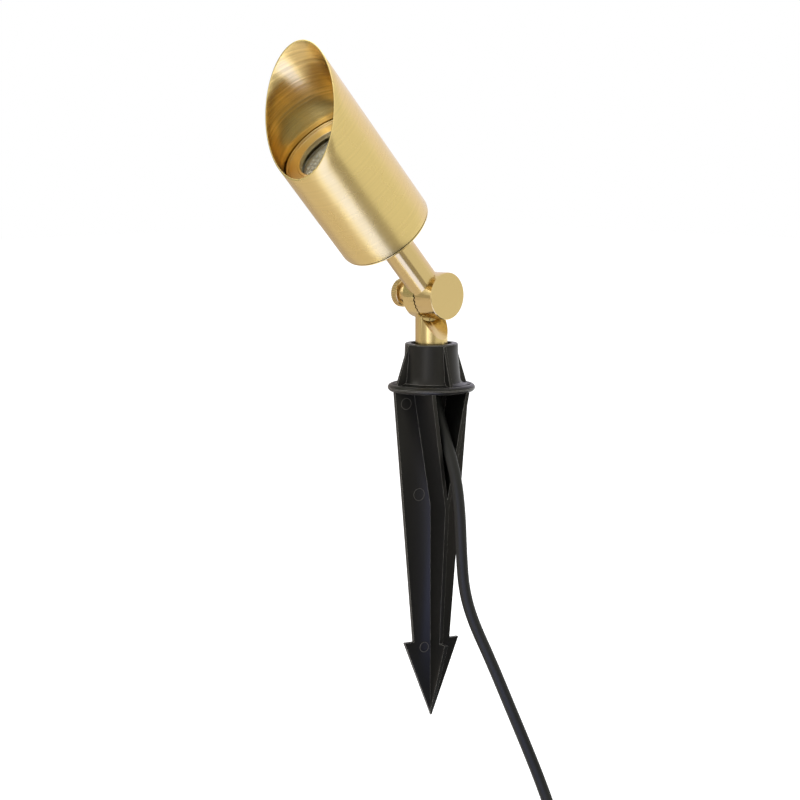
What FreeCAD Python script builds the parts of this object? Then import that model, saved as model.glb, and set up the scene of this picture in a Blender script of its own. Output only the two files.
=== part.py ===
import FreeCAD, Part
import math
import os

# Garden spike spotlight: a turned brass lamp head on a brass knuckle, screwed into a moulded ground stake.
#
# Frame: the origin is the centre of the flange's underside, which rests on the soil. +Z is up, along
# the stake and the stem. The knuckle pivots about X, with its clamping screw at -X, and the lamp leans
# forward, towards -Y. All sizes are in millimetres.

V = FreeCAD.Vector
ORIGIN = V(0, 0, 0)
X_AXIS = V(1, 0, 0)
Y_AXIS = V(0, 1, 0)
Z_AXIS = V(0, 0, 1)

# ---------------------------------------------------------------- driving dimensions
# Clearances
RUNNING_FIT = 0.08       # radial, pin or screw in its bore
SLEEVE_FIT = 0.30        # radial, shroud over lamp housing
SEAT_FIT = 0.05          # radial, a piece pushed or screwed into its seat
FACE_GAP = 0.30          # between the teeth of the two half drums when the screw is slack

# Stake, one plastic moulding
STAKE_YAW = -15.6        # how far the stake is screwed round from the lamp's own X axis, in degrees
FLANGE_R = 27.4
FLANGE_T = 4.5
FLANGE_EDGE_R = 1.9
COLLAR_TOP_Z = 30.0
COLLAR_R = 16.6
COLLAR_FOOT_R = 18.2
COLLAR_FILLET = 3.2
RECESS_R = 12.9
RECESS_DEPTH = 4.0
GUSSET_COUNT = 4
GUSSET_T = 1.8
GUSSET_REACH_R = 24.8
BLADE_T = 2.6
BLADE_TOP_HALF = 26.6    # half width of the crossed blades under the flange
BLADE_LOW_HALF = 13.0    # half width where they meet the arrowhead
CHANNEL_HALF = 13.4      # outside half width of the lead channel under the flange
CHANNEL_WALL = 2.4
CHANNEL_REACH = 24.3     # from the stake's axis to the channel's front edge under the flange
CHANNEL_FOOT_REACH = 20.2
CHANNEL_FOOT_Z = -73.0   # where the channel's two walls run together into one fin
ARROW_Z = -160.0
ARROW_HALF = 19.6
TIP_Z = -209.3
EJECTOR_R = 2.6
EJECTOR_DEPTH = 0.4
EJECTOR_MARKS = [(-16.8, -8.5), (-7.6, -65.5), (-4.4, -163.0)]   # along the blade, height

# Knuckle arms, brass
PIVOT_Z = 60.0
HEAD_TILT = 44.0         # forward lean of the lamp's axis from vertical, in degrees
ROD_R = 10.15
BORE_R = 3.0
STEM_FOOT_Z = 16.0
DRUM_R = 14.7
DRUM_EDGE = 0.4
PARTING_X = -0.9
UPPER_FACE_X = 14.0
LOWER_FACE_X = -11.2
TOOTH_COUNT = 36
TOOTH_DEPTH = 0.9
TOOTH_INNER_R = 10.4
RING_GROOVE_R = 8.9
CORD_SECTION_R = 0.8     # half the width of the knuckle's seal ring
CHAMBER_R = 7.9          # hollow in each half drum where the wires pass the screw
CHAMBER_DEPTH = 5.4
RELIEF_GAP = 1.7         # from one arm's drum to the start of the other arm's relief
TOOTH_OVERRUN = 1.5      # how far the cutter ran past the drum on to the flat beside it
RELIEF_SLOPE = 51.3      # of the relief, from square to the rod, in degrees
RELIEF_HOLLOW_R = 16.0

# Clamping screw, brass
SCREW_R = 3.0
SCREW_TIP_X = 9.0
SCREW_COLLAR_R = 6.0
SCREW_HEAD_R = 8.9
SCREW_HEAD_INNER_X = -22.7
SCREW_HEAD_OUTER_X = -27.7
KNURL_COUNT = 36
KNURL_DEPTH = 0.45
WASHER_T = 0.8
WASHER_R = 7.4

# Lamp head, lengths along the lamp's axis from the pivot up
HEAD_R = 30.0
SHROUD_WALL = 0.8
SHROUD_SHORT_SIDE = 71.2
SHROUD_LONG_SIDE = 126.0
CAP_START = 56.9         # from the pivot to the outer face of the rear cap
CAP_STEP = 0.4           # how much smaller the cap is than the shroud, on the radius
CAP_RIM = 1.5
CAP_CHAMFER = 0.9
CAP_FLOOR = 3.4
CAP_BOSS_WALL = 0.75
CAP_BOSS_LENGTH = 4.2
SPIGOT_LENGTH = 7.8
SPIGOT_WALL = 2.0
RING_T = 0.7             # seal ring between cap and shroud
HOUSING_WALL = 1.5
HOUSING_RING_INSET = 7.0 # from each end of the lamp housing to its seal ring
HOUSING_RING_R = 1.0
HOUSING_GROOVE = 0.9
GLASS_T = 3.0
GLASS_LEDGE = 0.7
GASKET_T = 0.8
GASKET_WIDTH = 3.2
BEZEL_STEP = 0.5         # how much smaller the bezel is than the housing, on the radius
BEZEL_HEIGHT = 5.0
BEZEL_LIP = 1.1
BEZEL_LIP_DEPTH = 1.6
BEZEL_FACE_WIDTH = 6.6
BEZEL_OPENING_WIDTH = 8.5
BEZEL_DISH_FOOT = 2.6

# Two-pin reflector lamp
LAMP_FIT = 2.4           # radial, the lamp in its housing
LAMP_DEPTH = 37.0
LAMP_RIM = 3.0
LAMP_EDGE = 2.3          # width of the lamp's rim round its lens
LAMP_LENS_T = 2.0
LAMP_LENS_CROWN = 1.2
LAMP_TO_GLASS = 2.7
LAMP_WALL = 1.6
LAMP_NECK_R = 9.0
LAMP_BASE_HEIGHT = 7.0
LAMP_BASE_WIDTH = 15.0
LAMP_BASE_DEPTH = 10.0
PIN_R = 0.75
PIN_PITCH = 5.3
PIN_LENGTH = 6.5
HOLDER_R = 9.0
HOLDER_HEIGHT = 8.5
HOLDER_GAP = 0.3
BRACKET_T = 1.0
BRACKET_LENGTH = 38.0
BRACKET_WIDTH = 12.0
BRACKET_SCREW_X = 14.0
BRACKET_SCREW_R = 1.5
BRACKET_SCREW_HEAD_R = 2.8
BRACKET_SCREW_HEAD_T = 1.8
WIRE_R = 0.9
WIRE_SPACING = 2.4
WIRE_OFFSET = 3.9        # from the parting plane, so that each arm's wires stay on its own side
WIRE_FIT = 0.1
WIRE_END_GAP = 2.0       # from the screw to the first of the wires that is modelled
GLAND_LENGTH = 7.0
STEM_GLAND_R = 7.4
STEM_GLAND_T = 1.5

# Lead
LEAD_D = 7.2
GROUND_Z = -285.0        # the surface that the lead lies on, below the tip of the stake held up
TIE_WIDTH = 6.0
TIE_T = 1.0
TIE_GAP = 0.35
COIL_Z = GROUND_Z + TIE_T + TIE_GAP + LEAD_D / 2
LEAD_ROUTE = [
    (0.0, 0.0, STEM_FOOT_Z - STEM_GLAND_T),
    (0.0, 0.0, 6.0),
    (4.8, -1.3, -6.5),
    (14.9, -4.2, -24.0),
    (29.6, -8.3, -49.5),
    (33.2, -8.2, -73.0),
    (33.6, -7.3, -98.0),
    (34.0, -5.4, -121.0),
    (37.1, -0.8, -141.0),
    (45.3, 7.5, -167.0),
    (54.3, 15.9, -197.0),
    (63.1, 24.1, -226.0),
    (71.6, 28.4, -249.0),
    (84.7, 24.6, -266.5),
    (99.6, 12.7, -277.5),
    (114.0, -3.0, COIL_Z),
]
COIL_HEADING = -44.6     # way that the lead runs into its coil, in degrees from +X
COIL_LEAD_IN = 12.0
COIL_OUTER_R = 42.5
COIL_TURN_STEP = 7.9
COIL_LAYER_RISE = 7.8
COIL_TURNS = 2.5
CORE_D = 2.6
CORE_LENGTH = 46.0
CORE_SPREAD = 2.9
FERRULE_R = 1.75
FERRULE_COLLAR = 5.0
FERRULE_PIN_R = 0.8
FERRULE_LENGTH = 12.0
TIE_TURN = 0.20          # where the tie goes round the coil, as a share of a turn from its start

BIG = 400.0


# ---------------------------------------------------------------- helpers
def turned(profile, start=ORIGIN, along=Z_AXIS):
    """Solid turned from a closed outline of (radius, position) points about the Z axis."""
    points = [V(r, 0, z) for r, z in profile]
    face = Part.Face(Part.makePolygon(points + points[:1]))
    solid = face.revolve(ORIGIN, Z_AXIS, 360)
    return along_axis(solid, start, along)


def along_axis(shape, start, along):
    """Move a shape made along +Z so that it starts at a point and runs along a direction."""
    placed = shape.copy()
    placed.Placement = FreeCAD.Placement(start, FreeCAD.Rotation(Z_AXIS, along))
    return placed


def bar(radius, start, end, along=X_AXIS):
    """Round bar along one axis through the origin, between two positions."""
    first = V(along).multiply(min(start, end))
    return Part.makeCylinder(radius, abs(end - start), first, along)


def tube(outer, inner, start, end, along=Z_AXIS):
    return bar(outer, start, end, along).cut(bar(inner, start, end, along))


def plate(outline, thickness):
    """Flat plate with an outline of (sideways, height) points, centred on the XZ plane."""
    points = [V(s, -thickness / 2, z) for s, z in outline]
    face = Part.Face(Part.makePolygon(points + points[:1]))
    return face.extrude(V(0, thickness, 0))


def fused(shapes):
    whole = shapes[0]
    if len(shapes) > 1:
        whole = whole.fuse(shapes[1:])
    return whole.removeSplitter()


def about_z(shape, degrees):
    moved = shape.copy()
    moved.rotate(ORIGIN, Z_AXIS, degrees)
    return moved


def in_head(shape):
    """Move a shape drawn along the lamp's axis, from the pivot up, into its place."""
    moved = shape.copy()
    moved.rotate(ORIGIN, X_AXIS, HEAD_TILT)
    moved.translate(V(0, 0, PIVOT_Z))
    return moved


def save(name, shape):
    shape.exportStep("parts/" + name + ".step")
    print(name, len(shape.Solids), "solids,", round(shape.Volume / 1000, 3), "cm3, valid", shape.isValid())


# ---------------------------------------------------------------- paths of cords and wires
def arc_from_corner(first, corner, last):
    """Arc that leaves the first point towards the corner and arrives at the last point from it."""
    middle = (first + last) * 0.5
    to_corner = corner - middle
    half_chord = first.distanceToPoint(last) / 2
    turn = 2 * math.atan2(to_corner.Length, half_chord)
    peak = middle + to_corner.normalize() * (half_chord * math.tan(turn / 4))
    return Part.Arc(first, peak, last).toShape()


def rounded_route(points, name):
    """Straight runs joined by tangent arcs, each as large as its two runs allow."""
    edges = []
    radii = []
    here = points[0]
    for before, corner, after in zip(points, points[1:], points[2:]):
        run_in = corner - before
        run_out = after - corner
        reach = 0.45 * min(run_in.Length, run_out.Length)
        radii.append(reach / math.tan(run_in.getAngle(run_out) / 2))
        first = corner - run_in.normalize() * reach
        last = corner + run_out.normalize() * reach
        edges.append(Part.LineSegment(here, first).toShape())
        edges.append(arc_from_corner(first, corner, last))
        here = last
    edges.append(Part.LineSegment(here, points[-1]).toShape())
    print(name, "bend radii", [round(r, 1) for r in radii])
    return Part.Wire(edges)


def swept(wire, diameter, name):
    """Solid round tube along a path."""
    start = wire.Edges[0]
    heading = start.tangentAt(start.FirstParameter)
    section = Part.Wire(Part.makeCircle(diameter / 2, start.valueAt(start.FirstParameter), heading))
    body = wire.makePipeShell([section], True, False)
    ideal = math.pi * diameter ** 2 / 4 * wire.Length
    print(name, "length", round(wire.Length, 1), "volume against section times length", round(body.Volume / ideal, 4))
    return body


def biarc(start, start_way, end, end_way):
    """Two arcs that meet smoothly and keep the direction at both ends."""
    span = end - start
    square = 2 * start_way.dot(end_way) - 2
    linear = -2 * span.dot(start_way + end_way)
    root = math.sqrt(linear ** 2 - 4 * square * span.dot(span))
    reach = (-linear - root) / (2 * square)
    first_corner = start + start_way * reach
    second_corner = end - end_way * reach
    meeting = (first_corner + second_corner) * 0.5
    return [arc_from_corner(start, first_corner, meeting), arc_from_corner(meeting, second_corner, end)]


def coil_radius(turn):
    """Distance from the coil's centre: in along the lower layer, out again along the upper one."""
    return COIL_OUTER_R - COIL_TURN_STEP * (COIL_TURNS / 2 - abs(turn - COIL_TURNS / 2))


def coil_height(turn):
    """Height above the lower layer: the climb takes the half turn where the spiral reverses."""
    climbed = min(1.0, max(0.0, (turn - COIL_TURNS / 2) / 0.5 + 0.5))
    return COIL_LAYER_RISE * climbed * climbed * (3 - 2 * climbed)


def coil_point(centre, start_angle, turn):
    angle = start_angle - 2 * math.pi * turn
    radius = coil_radius(turn)
    return centre + V(radius * math.cos(angle), radius * math.sin(angle), coil_height(turn))


def coil_way(centre, start_angle, turn):
    step = 0.002
    back = coil_point(centre, start_angle, turn - step)
    ahead = coil_point(centre, start_angle, turn + step)
    return (ahead - back).normalize()


def least_self_gap(wire, diameter, apart):
    """Smallest clear distance between two stretches of a tube that lie apart along its path."""
    count = int(wire.Length / 2)
    points = wire.discretize(count)
    skip = int(apart / 2)
    least = BIG
    for i in range(count):
        for j in range(i + skip, count):
            least = min(least, points[i].distanceToPoint(points[j]))
    return least - diameter


# ---------------------------------------------------------------- stake
def blade_outline(half_top, half_low):
    """Outline of a crossed blade with its barbed arrowhead."""
    half = [(half_top, 1.0), (half_low, ARROW_Z), (ARROW_HALF, ARROW_Z), (0.6, TIP_Z)]
    return half + [(-s, z) for s, z in reversed(half)]


def arrow_half_at(z):
    return ARROW_HALF * (TIP_Z - z) / (TIP_Z - ARROW_Z)


def stake_body():
    waist_z = (COLLAR_TOP_Z + FLANGE_T) / 2 + 4
    socket_r = ROD_R + RUNNING_FIT
    outer = turned([
        (0, 0), (FLANGE_R - FLANGE_EDGE_R, 0), (FLANGE_R, FLANGE_EDGE_R),
        (FLANGE_R, FLANGE_T - FLANGE_EDGE_R), (FLANGE_R - FLANGE_EDGE_R, FLANGE_T),
        (COLLAR_FOOT_R + COLLAR_FILLET, FLANGE_T), (COLLAR_FOOT_R + COLLAR_FILLET * 0.3, FLANGE_T + COLLAR_FILLET * 0.3),
        (COLLAR_FOOT_R, FLANGE_T + COLLAR_FILLET), (COLLAR_R + 0.3, waist_z), (COLLAR_R, COLLAR_TOP_Z - 0.5),
        (COLLAR_R - 0.5, COLLAR_TOP_Z), (0, COLLAR_TOP_Z)])
    gusset = plate([(COLLAR_R - 2, COLLAR_TOP_Z - 1.0), (COLLAR_R + 0.2, COLLAR_TOP_Z - 1.0),
                    (GUSSET_REACH_R, FLANGE_T + 0.4), (GUSSET_REACH_R, FLANGE_T - 1), (COLLAR_R - 2, FLANGE_T - 1)], GUSSET_T)
    gussets = [about_z(gusset, 360.0 * i / GUSSET_COUNT) for i in range(GUSSET_COUNT)]
    hub = fused([outer] + gussets)
    hub = hub.cut(bar(socket_r, -1, COLLAR_TOP_Z + 1, Z_AXIS))
    return hub.cut(bar(RECESS_R, COLLAR_TOP_Z - RECESS_DEPTH, COLLAR_TOP_Z + 1, Z_AXIS))


def stake_blades():
    main = plate(blade_outline(BLADE_TOP_HALF, BLADE_LOW_HALF), BLADE_T)
    main = about_z(main, 90)
    rear = plate([(0, 1.0), (-BLADE_TOP_HALF, 1.0), (-BLADE_LOW_HALF, ARROW_Z), (0, ARROW_Z)], BLADE_T)
    arrow = plate([(ARROW_HALF, ARROW_Z), (0.6, TIP_Z), (-0.6, TIP_Z), (-ARROW_HALF, ARROW_Z)], BLADE_T)
    inner = CHANNEL_HALF - CHANNEL_WALL
    fin_half = BLADE_T / 2
    meet_z = CHANNEL_FOOT_Z * inner / (CHANNEL_HALF - fin_half)
    walls = [(-CHANNEL_HALF, 0.5), (-fin_half, CHANNEL_FOOT_Z), (-fin_half, ARROW_Z), (fin_half, ARROW_Z),
             (fin_half, CHANNEL_FOOT_Z), (CHANNEL_HALF, 0.5), (inner, 0.5), (0, meet_z), (-inner, 0.5)]
    points = [V(0, s, z) for s, z in walls]
    front = Part.Face(Part.makePolygon(points + points[:1])).extrude(V(FLANGE_R, 0, 0))
    side = plate([(0, 1.0), (CHANNEL_REACH, 1.0), (CHANNEL_FOOT_REACH, CHANNEL_FOOT_Z), (BLADE_LOW_HALF, ARROW_Z),
                  (0, ARROW_Z)], 4 * CHANNEL_HALF)
    return [main, rear, arrow, front.common(side)]


def lead_notch():
    """Round notch in the blade's top edge, where the lead crosses from the bore to the channel."""
    first = V(*LEAD_ROUTE[1])
    second = V(*LEAD_ROUTE[2])
    way = (second - first).normalize()
    return Part.makeCylinder(LEAD_D / 2 + 0.8, first.distanceToPoint(second) + 9, first, way)


def stake():
    hub = stake_body()
    body = fused([hub] + stake_blades())
    body = body.cut(bar(ROD_R + RUNNING_FIT, 0, COLLAR_TOP_Z, Z_AXIS))
    for along, z in EJECTOR_MARKS:
        mark = Part.makeCylinder(EJECTOR_R, BLADE_T, V(BLADE_T / 2 - EJECTOR_DEPTH, -along, z), X_AXIS)
        body = body.cut(mark)
    body = about_z(body, STAKE_YAW)
    return body.cut(lead_notch())


# ---------------------------------------------------------------- knuckle
def teeth_cutter(face_x, into):
    """Ring of V grooves across the parting face of a half drum, pointing into the metal."""
    half_angle = math.pi / TOOTH_COUNT
    inner_half = TOOTH_INNER_R * math.tan(half_angle) * 0.94
    outer_r = DRUM_R + TOOTH_OVERRUN
    outer_half = outer_r * math.tan(half_angle) * 0.94
    inner_depth = TOOTH_DEPTH * TOOTH_INNER_R / DRUM_R
    sections = []
    for radius, half, depth in ((TOOTH_INNER_R, inner_half, inner_depth), (outer_r, outer_half, TOOTH_DEPTH)):
        corners = [V(face_x - into * 0.05, -half, radius), V(face_x - into * 0.05, half, radius),
                   V(face_x + into * depth, 0, radius)]
        sections.append(Part.makePolygon(corners + corners[:1]))
    groove = Part.makeLoft(sections, True, True)
    grooves = []
    for i in range(TOOTH_COUNT):
        one = groove.copy()
        one.rotate(ORIGIN, X_AXIS, 360.0 * i / TOOTH_COUNT)
        grooves.append(one)
    return Part.makeCompound(grooves)


def wire_way(side, start, end, radius=BORE_R):
    """Bore for the wires, wholly on an arm's own side of the parting face."""
    return Part.makeCylinder(radius, end - start, V(wire_x(side), 0, start), Z_AXIS)


def wire_x(side):
    return PARTING_X + side * WIRE_OFFSET


def knuckle_arm(face_x, back_x, side, rod_end):
    """Rod along +Z with a half drum on one side of the parting face and a hollow relief on the other."""
    drum = bar(DRUM_R, face_x, back_x)
    rim = [e for e in drum.Edges if abs(e.BoundBox.XMin - back_x) < 0.01 and abs(e.BoundBox.XMax - back_x) < 0.01]
    drum = drum.makeChamfer(DRUM_EDGE, rim)
    rod = bar(ROD_R, 0, rod_end, Z_AXIS)
    keep = Part.makeBox(BIG, BIG, BIG, V(0, -BIG / 2, -BIG / 2))
    if side < 0:
        keep.translate(V(-BIG, 0, 0))
    keep.translate(V(face_x, 0, 0))
    solid_side = rod.common(keep)
    other_side = rod.cut(keep)
    slope = math.radians(RELIEF_SLOPE)
    down = V(side * math.cos(slope), 0, -math.sin(slope))
    out = V(-side * math.sin(slope), 0, -math.cos(slope))
    foot = V(face_x, 0, DRUM_R + RELIEF_GAP)
    middle = foot + out * RELIEF_HOLLOW_R
    hollow = Part.makeCylinder(RELIEF_HOLLOW_R, 120, middle - down * 60, down)
    other_side = other_side.cut(hollow).cut(bar(DRUM_R + RELIEF_GAP, -BIG, BIG))
    arm = fused([drum, solid_side, other_side])
    into = side
    chamber = bar(CHAMBER_R, face_x, face_x + into * CHAMBER_DEPTH)
    ring_seat = tube(RING_GROOVE_R + CORD_SECTION_R, RING_GROOVE_R - CORD_SECTION_R, face_x,
                     face_x + into * CORD_SECTION_R, X_AXIS)
    wire_bore = wire_way(side, 0, rod_end + 1)
    boss = bar(SCREW_R + 1.2, face_x, back_x)
    arm = arm.cut(teeth_cutter(face_x, into))
    arm = arm.cut(fused([chamber, wire_bore]).cut(boss))
    return arm.cut(ring_seat)


def upper_knuckle_arm():
    face = PARTING_X + FACE_GAP / 2
    arm = knuckle_arm(face, UPPER_FACE_X, 1, CAP_FLOOR_END)
    arm = arm.cut(bar(SCREW_R + RUNNING_FIT, face - 1, SCREW_TIP_X + 0.8))
    return in_head(arm)


def lower_knuckle_arm():
    face = PARTING_X - FACE_GAP / 2
    arm = knuckle_arm(face, LOWER_FACE_X, -1, PIVOT_Z - STEM_FOOT_Z)
    arm = arm.cut(bar(SCREW_R + RUNNING_FIT, face + 1, LOWER_FACE_X - 1))
    arm.rotate(ORIGIN, X_AXIS, 180)
    arm.translate(V(0, 0, PIVOT_Z))
    return arm


def knuckle_seal_ring():
    half = CORD_SECTION_R - SEAT_FIT
    foot = PARTING_X - FACE_GAP / 2 - half
    ring = tube(RING_GROOVE_R + half, RING_GROOVE_R - half, foot, PARTING_X + SEAT_FIT, X_AXIS)
    ring.translate(V(0, 0, PIVOT_Z))
    return ring


def thumbscrew():
    collar_foot = LOWER_FACE_X - WASHER_T
    head_length = SCREW_HEAD_INNER_X - SCREW_HEAD_OUTER_X
    edge = 0.5
    head = turned([(0, 0), (SCREW_HEAD_R - edge, 0), (SCREW_HEAD_R, edge), (SCREW_HEAD_R, head_length - edge),
                   (SCREW_HEAD_R - edge, head_length), (0, head_length)], V(SCREW_HEAD_OUTER_X, 0, 0), X_AXIS)
    groove_r = 0.75
    grooves = []
    for i in range(KNURL_COUNT):
        angle = 2 * math.pi * i / KNURL_COUNT
        reach = SCREW_HEAD_R + groove_r - KNURL_DEPTH
        foot = V(SCREW_HEAD_OUTER_X - 1, reach * math.cos(angle), reach * math.sin(angle))
        section = [foot + V(0, 1, 0) * groove_r, foot + V(0, 0, 1) * groove_r,
                   foot - V(0, 1, 0) * groove_r, foot - V(0, 0, 1) * groove_r]
        face = Part.Face(Part.makePolygon(section + section[:1]))
        face.rotate(foot, X_AXIS, math.degrees(angle))
        grooves.append(face.extrude(V(head_length + 2, 0, 0)))
    head = head.cut(Part.makeCompound(grooves))
    collar = bar(SCREW_COLLAR_R, SCREW_HEAD_INNER_X, collar_foot)
    shank = bar(SCREW_R, collar_foot, SCREW_TIP_X)
    screw = fused([head, collar, shank])
    screw.translate(V(0, 0, PIVOT_Z))
    return screw


def thumbscrew_washer():
    washer = tube(WASHER_R, SCREW_R + RUNNING_FIT, LOWER_FACE_X - WASHER_T, LOWER_FACE_X, X_AXIS)
    washer.translate(V(0, 0, PIVOT_Z))
    return washer


# ---------------------------------------------------------------- lamp head
SHROUD_START = CAP_START + CAP_RIM + RING_T
SHROUD_BORE = HEAD_R - SHROUD_WALL
CAP_R = HEAD_R - CAP_STEP
CAP_FLOOR_END = CAP_START + CAP_FLOOR
HOUSING_R = SHROUD_BORE - SLEEVE_FIT
HOUSING_BORE = HOUSING_R - HOUSING_WALL
SPIGOT_R = HOUSING_BORE - SEAT_FIT
LAMP_R = HOUSING_BORE - LAMP_FIT
LAMP_LENS_R = LAMP_R - LAMP_EDGE
HOLDER_FOOT = CAP_FLOOR_END + BRACKET_T
HOLDER_TOP = HOLDER_FOOT + HOLDER_HEIGHT
LAMP_BASE_FOOT = HOLDER_TOP + HOLDER_GAP
LAMP_NECK = LAMP_BASE_FOOT + LAMP_BASE_HEIGHT
LAMP_FACE = LAMP_NECK + LAMP_DEPTH
GLASS_FOOT = LAMP_FACE + LAMP_LENS_CROWN + LAMP_TO_GLASS
GLASS_SEAT_R = HOUSING_BORE + GLASS_LEDGE
HOUSING_END = GLASS_FOOT + GLASS_T + GASKET_T
HOUSING_RING_Q = [SHROUD_START + HOUSING_RING_INSET, HOUSING_END - HOUSING_RING_INSET - GLASS_T]
BEZEL_R = HOUSING_R - BEZEL_STEP
BEZEL_END = HOUSING_END + BEZEL_HEIGHT


def shroud():
    short_end = SHROUD_START + SHROUD_SHORT_SIDE
    long_end = SHROUD_START + SHROUD_LONG_SIDE
    sleeve = tube(HEAD_R, SHROUD_BORE, SHROUD_START, long_end)
    rise = long_end - short_end
    margin = 5.0
    extra = rise * margin / (2 * HEAD_R)
    outline = [(-HEAD_R - margin, short_end - extra), (HEAD_R + margin, long_end + extra),
               (HEAD_R + margin, long_end + BIG), (-HEAD_R - margin, long_end + BIG)]
    waste = about_z(plate(outline, BIG), 90)
    return in_head(sleeve.cut(waste))


def rear_cap():
    boss_start = CAP_START - CAP_BOSS_LENGTH
    boss_r = ROD_R + CAP_BOSS_WALL
    spigot_end = CAP_FLOOR_END + SPIGOT_LENGTH
    cap = turned([(ROD_R + SEAT_FIT, boss_start), (boss_r - 0.3, boss_start), (boss_r, boss_start + 0.3),
                  (boss_r, CAP_START), (CAP_R - CAP_CHAMFER, CAP_START), (CAP_R, CAP_START + CAP_CHAMFER),
                  (CAP_R, SHROUD_START - RING_T), (SPIGOT_R, SHROUD_START - RING_T), (SPIGOT_R, spigot_end),
                  (SPIGOT_R - SPIGOT_WALL, spigot_end), (SPIGOT_R - SPIGOT_WALL, CAP_FLOOR_END),
                  (ROD_R + SEAT_FIT, CAP_FLOOR_END)])
    for x in (-BRACKET_SCREW_X, BRACKET_SCREW_X):
        cap = cap.cut(Part.makeCylinder(BRACKET_SCREW_R + SEAT_FIT, BIG, V(x, 0, CAP_START + 1.0), Z_AXIS))
    return in_head(cap)


def cap_seal_ring():
    return in_head(tube(CAP_R - CAP_STEP, SPIGOT_R + SEAT_FIT, SHROUD_START - RING_T, SHROUD_START))


def lamp_housing():
    body = tube(HOUSING_R, HOUSING_BORE, SHROUD_START, HOUSING_END)
    body = body.cut(bar(GLASS_SEAT_R, GLASS_FOOT, HOUSING_END + 1, Z_AXIS))
    for q in HOUSING_RING_Q:
        groove = tube(HOUSING_R + 1, HOUSING_R - HOUSING_GROOVE, q - HOUSING_RING_R, q + HOUSING_RING_R)
        body = body.cut(groove)
    return in_head(body)


def housing_seal_rings():
    rings = []
    inner = HOUSING_R - HOUSING_GROOVE + SEAT_FIT
    outer = SHROUD_BORE - SEAT_FIT
    half = HOUSING_RING_R - SEAT_FIT
    for q in HOUSING_RING_Q:
        rings.append(turned([(inner, q - half), (outer, q - half / 2), (outer, q + half / 2), (inner, q + half)]))
    return in_head(Part.makeCompound(rings))


def front_glass():
    return in_head(bar(GLASS_SEAT_R - SEAT_FIT, GLASS_FOOT, GLASS_FOOT + GLASS_T, Z_AXIS))


def glass_gasket():
    outer = GLASS_SEAT_R - SEAT_FIT
    return in_head(tube(outer, outer - GASKET_WIDTH, HOUSING_END - GASKET_T, HOUSING_END))


def bezel_ring():
    lip_r = BEZEL_R - BEZEL_LIP
    lip_foot = BEZEL_END - BEZEL_LIP_DEPTH
    dish = HOUSING_END + BEZEL_DISH_FOOT
    face_r = BEZEL_R - BEZEL_FACE_WIDTH
    opening_r = BEZEL_R - BEZEL_OPENING_WIDTH
    return in_head(turned([
        (opening_r, HOUSING_END), (BEZEL_R, HOUSING_END), (BEZEL_R, BEZEL_END - 0.3),
        (BEZEL_R - 0.3, BEZEL_END), (lip_r, BEZEL_END), (lip_r, lip_foot), (lip_r - 1.2, lip_foot),
        (face_r, dish), (face_r - 0.5, dish + 0.5), (opening_r, dish + 0.5)]))


def lamp_reflector():
    """Pressed glass or metal cup of the lamp: a thin shell on a stepped parabola."""
    outside = []
    inside = []
    steps = 3
    rim_foot = LAMP_FACE - LAMP_RIM
    for i in range(steps + 1):
        share = i / steps
        q = LAMP_NECK + (rim_foot - LAMP_NECK) * share
        r = LAMP_NECK_R + (LAMP_R - 1.0 - LAMP_NECK_R) * math.sqrt(share)
        outside.append((r, q))
        inside.append((r - LAMP_WALL, q + LAMP_WALL))
    outline = [(0, LAMP_NECK)] + outside + [(LAMP_R, rim_foot), (LAMP_R, LAMP_FACE), (LAMP_LENS_R + 0.2, LAMP_FACE)]
    outline += [(LAMP_LENS_R + 0.2, LAMP_FACE - LAMP_LENS_T), (inside[-1][0] - 1.5, LAMP_FACE - LAMP_LENS_T)]
    outline += [(r, q) for r, q in reversed(inside[:-1])] + [(0, LAMP_NECK + LAMP_WALL)]
    return in_head(turned(outline))


def lamp_lens():
    foot = LAMP_FACE - LAMP_LENS_T
    outline = [(0, foot), (LAMP_LENS_R, foot)]
    for share in (1.0, 0.66, 0.33):
        outline.append((LAMP_LENS_R * share, LAMP_FACE + LAMP_LENS_CROWN * (1 - share ** 2)))
    return in_head(turned(outline + [(0, LAMP_FACE + LAMP_LENS_CROWN)]))


def lamp_base():
    block = Part.makeBox(LAMP_BASE_WIDTH, LAMP_BASE_DEPTH, LAMP_NECK - LAMP_BASE_FOOT,
                         V(-LAMP_BASE_WIDTH / 2, -LAMP_BASE_DEPTH / 2, LAMP_BASE_FOOT))
    upright = [e for e in block.Edges if abs(e.BoundBox.ZLength - (LAMP_NECK - LAMP_BASE_FOOT)) < 0.01]
    return in_head(block.makeFillet(2.0, upright))


def lamp_pins():
    pins = []
    for side in (-1, 1):
        foot = V(side * PIN_PITCH / 2, 0, LAMP_BASE_FOOT - PIN_LENGTH)
        pins.append(Part.makeCylinder(PIN_R, PIN_LENGTH, foot, Z_AXIS))
    return in_head(Part.makeCompound(pins))


def lamp_holder():
    puck = bar(HOLDER_R, HOLDER_FOOT, HOLDER_TOP, Z_AXIS)
    puck = puck.makeChamfer(0.8, [e for e in puck.Edges if abs(e.BoundBox.ZMin - HOLDER_TOP) < 0.01])
    for side in (-1, 1):
        x = side * PIN_PITCH / 2
        puck = puck.cut(Part.makeCylinder(PIN_R + SEAT_FIT, BIG, V(x, 0, LAMP_BASE_FOOT - PIN_LENGTH - 0.1), Z_AXIS))
    return in_head(puck)


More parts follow.
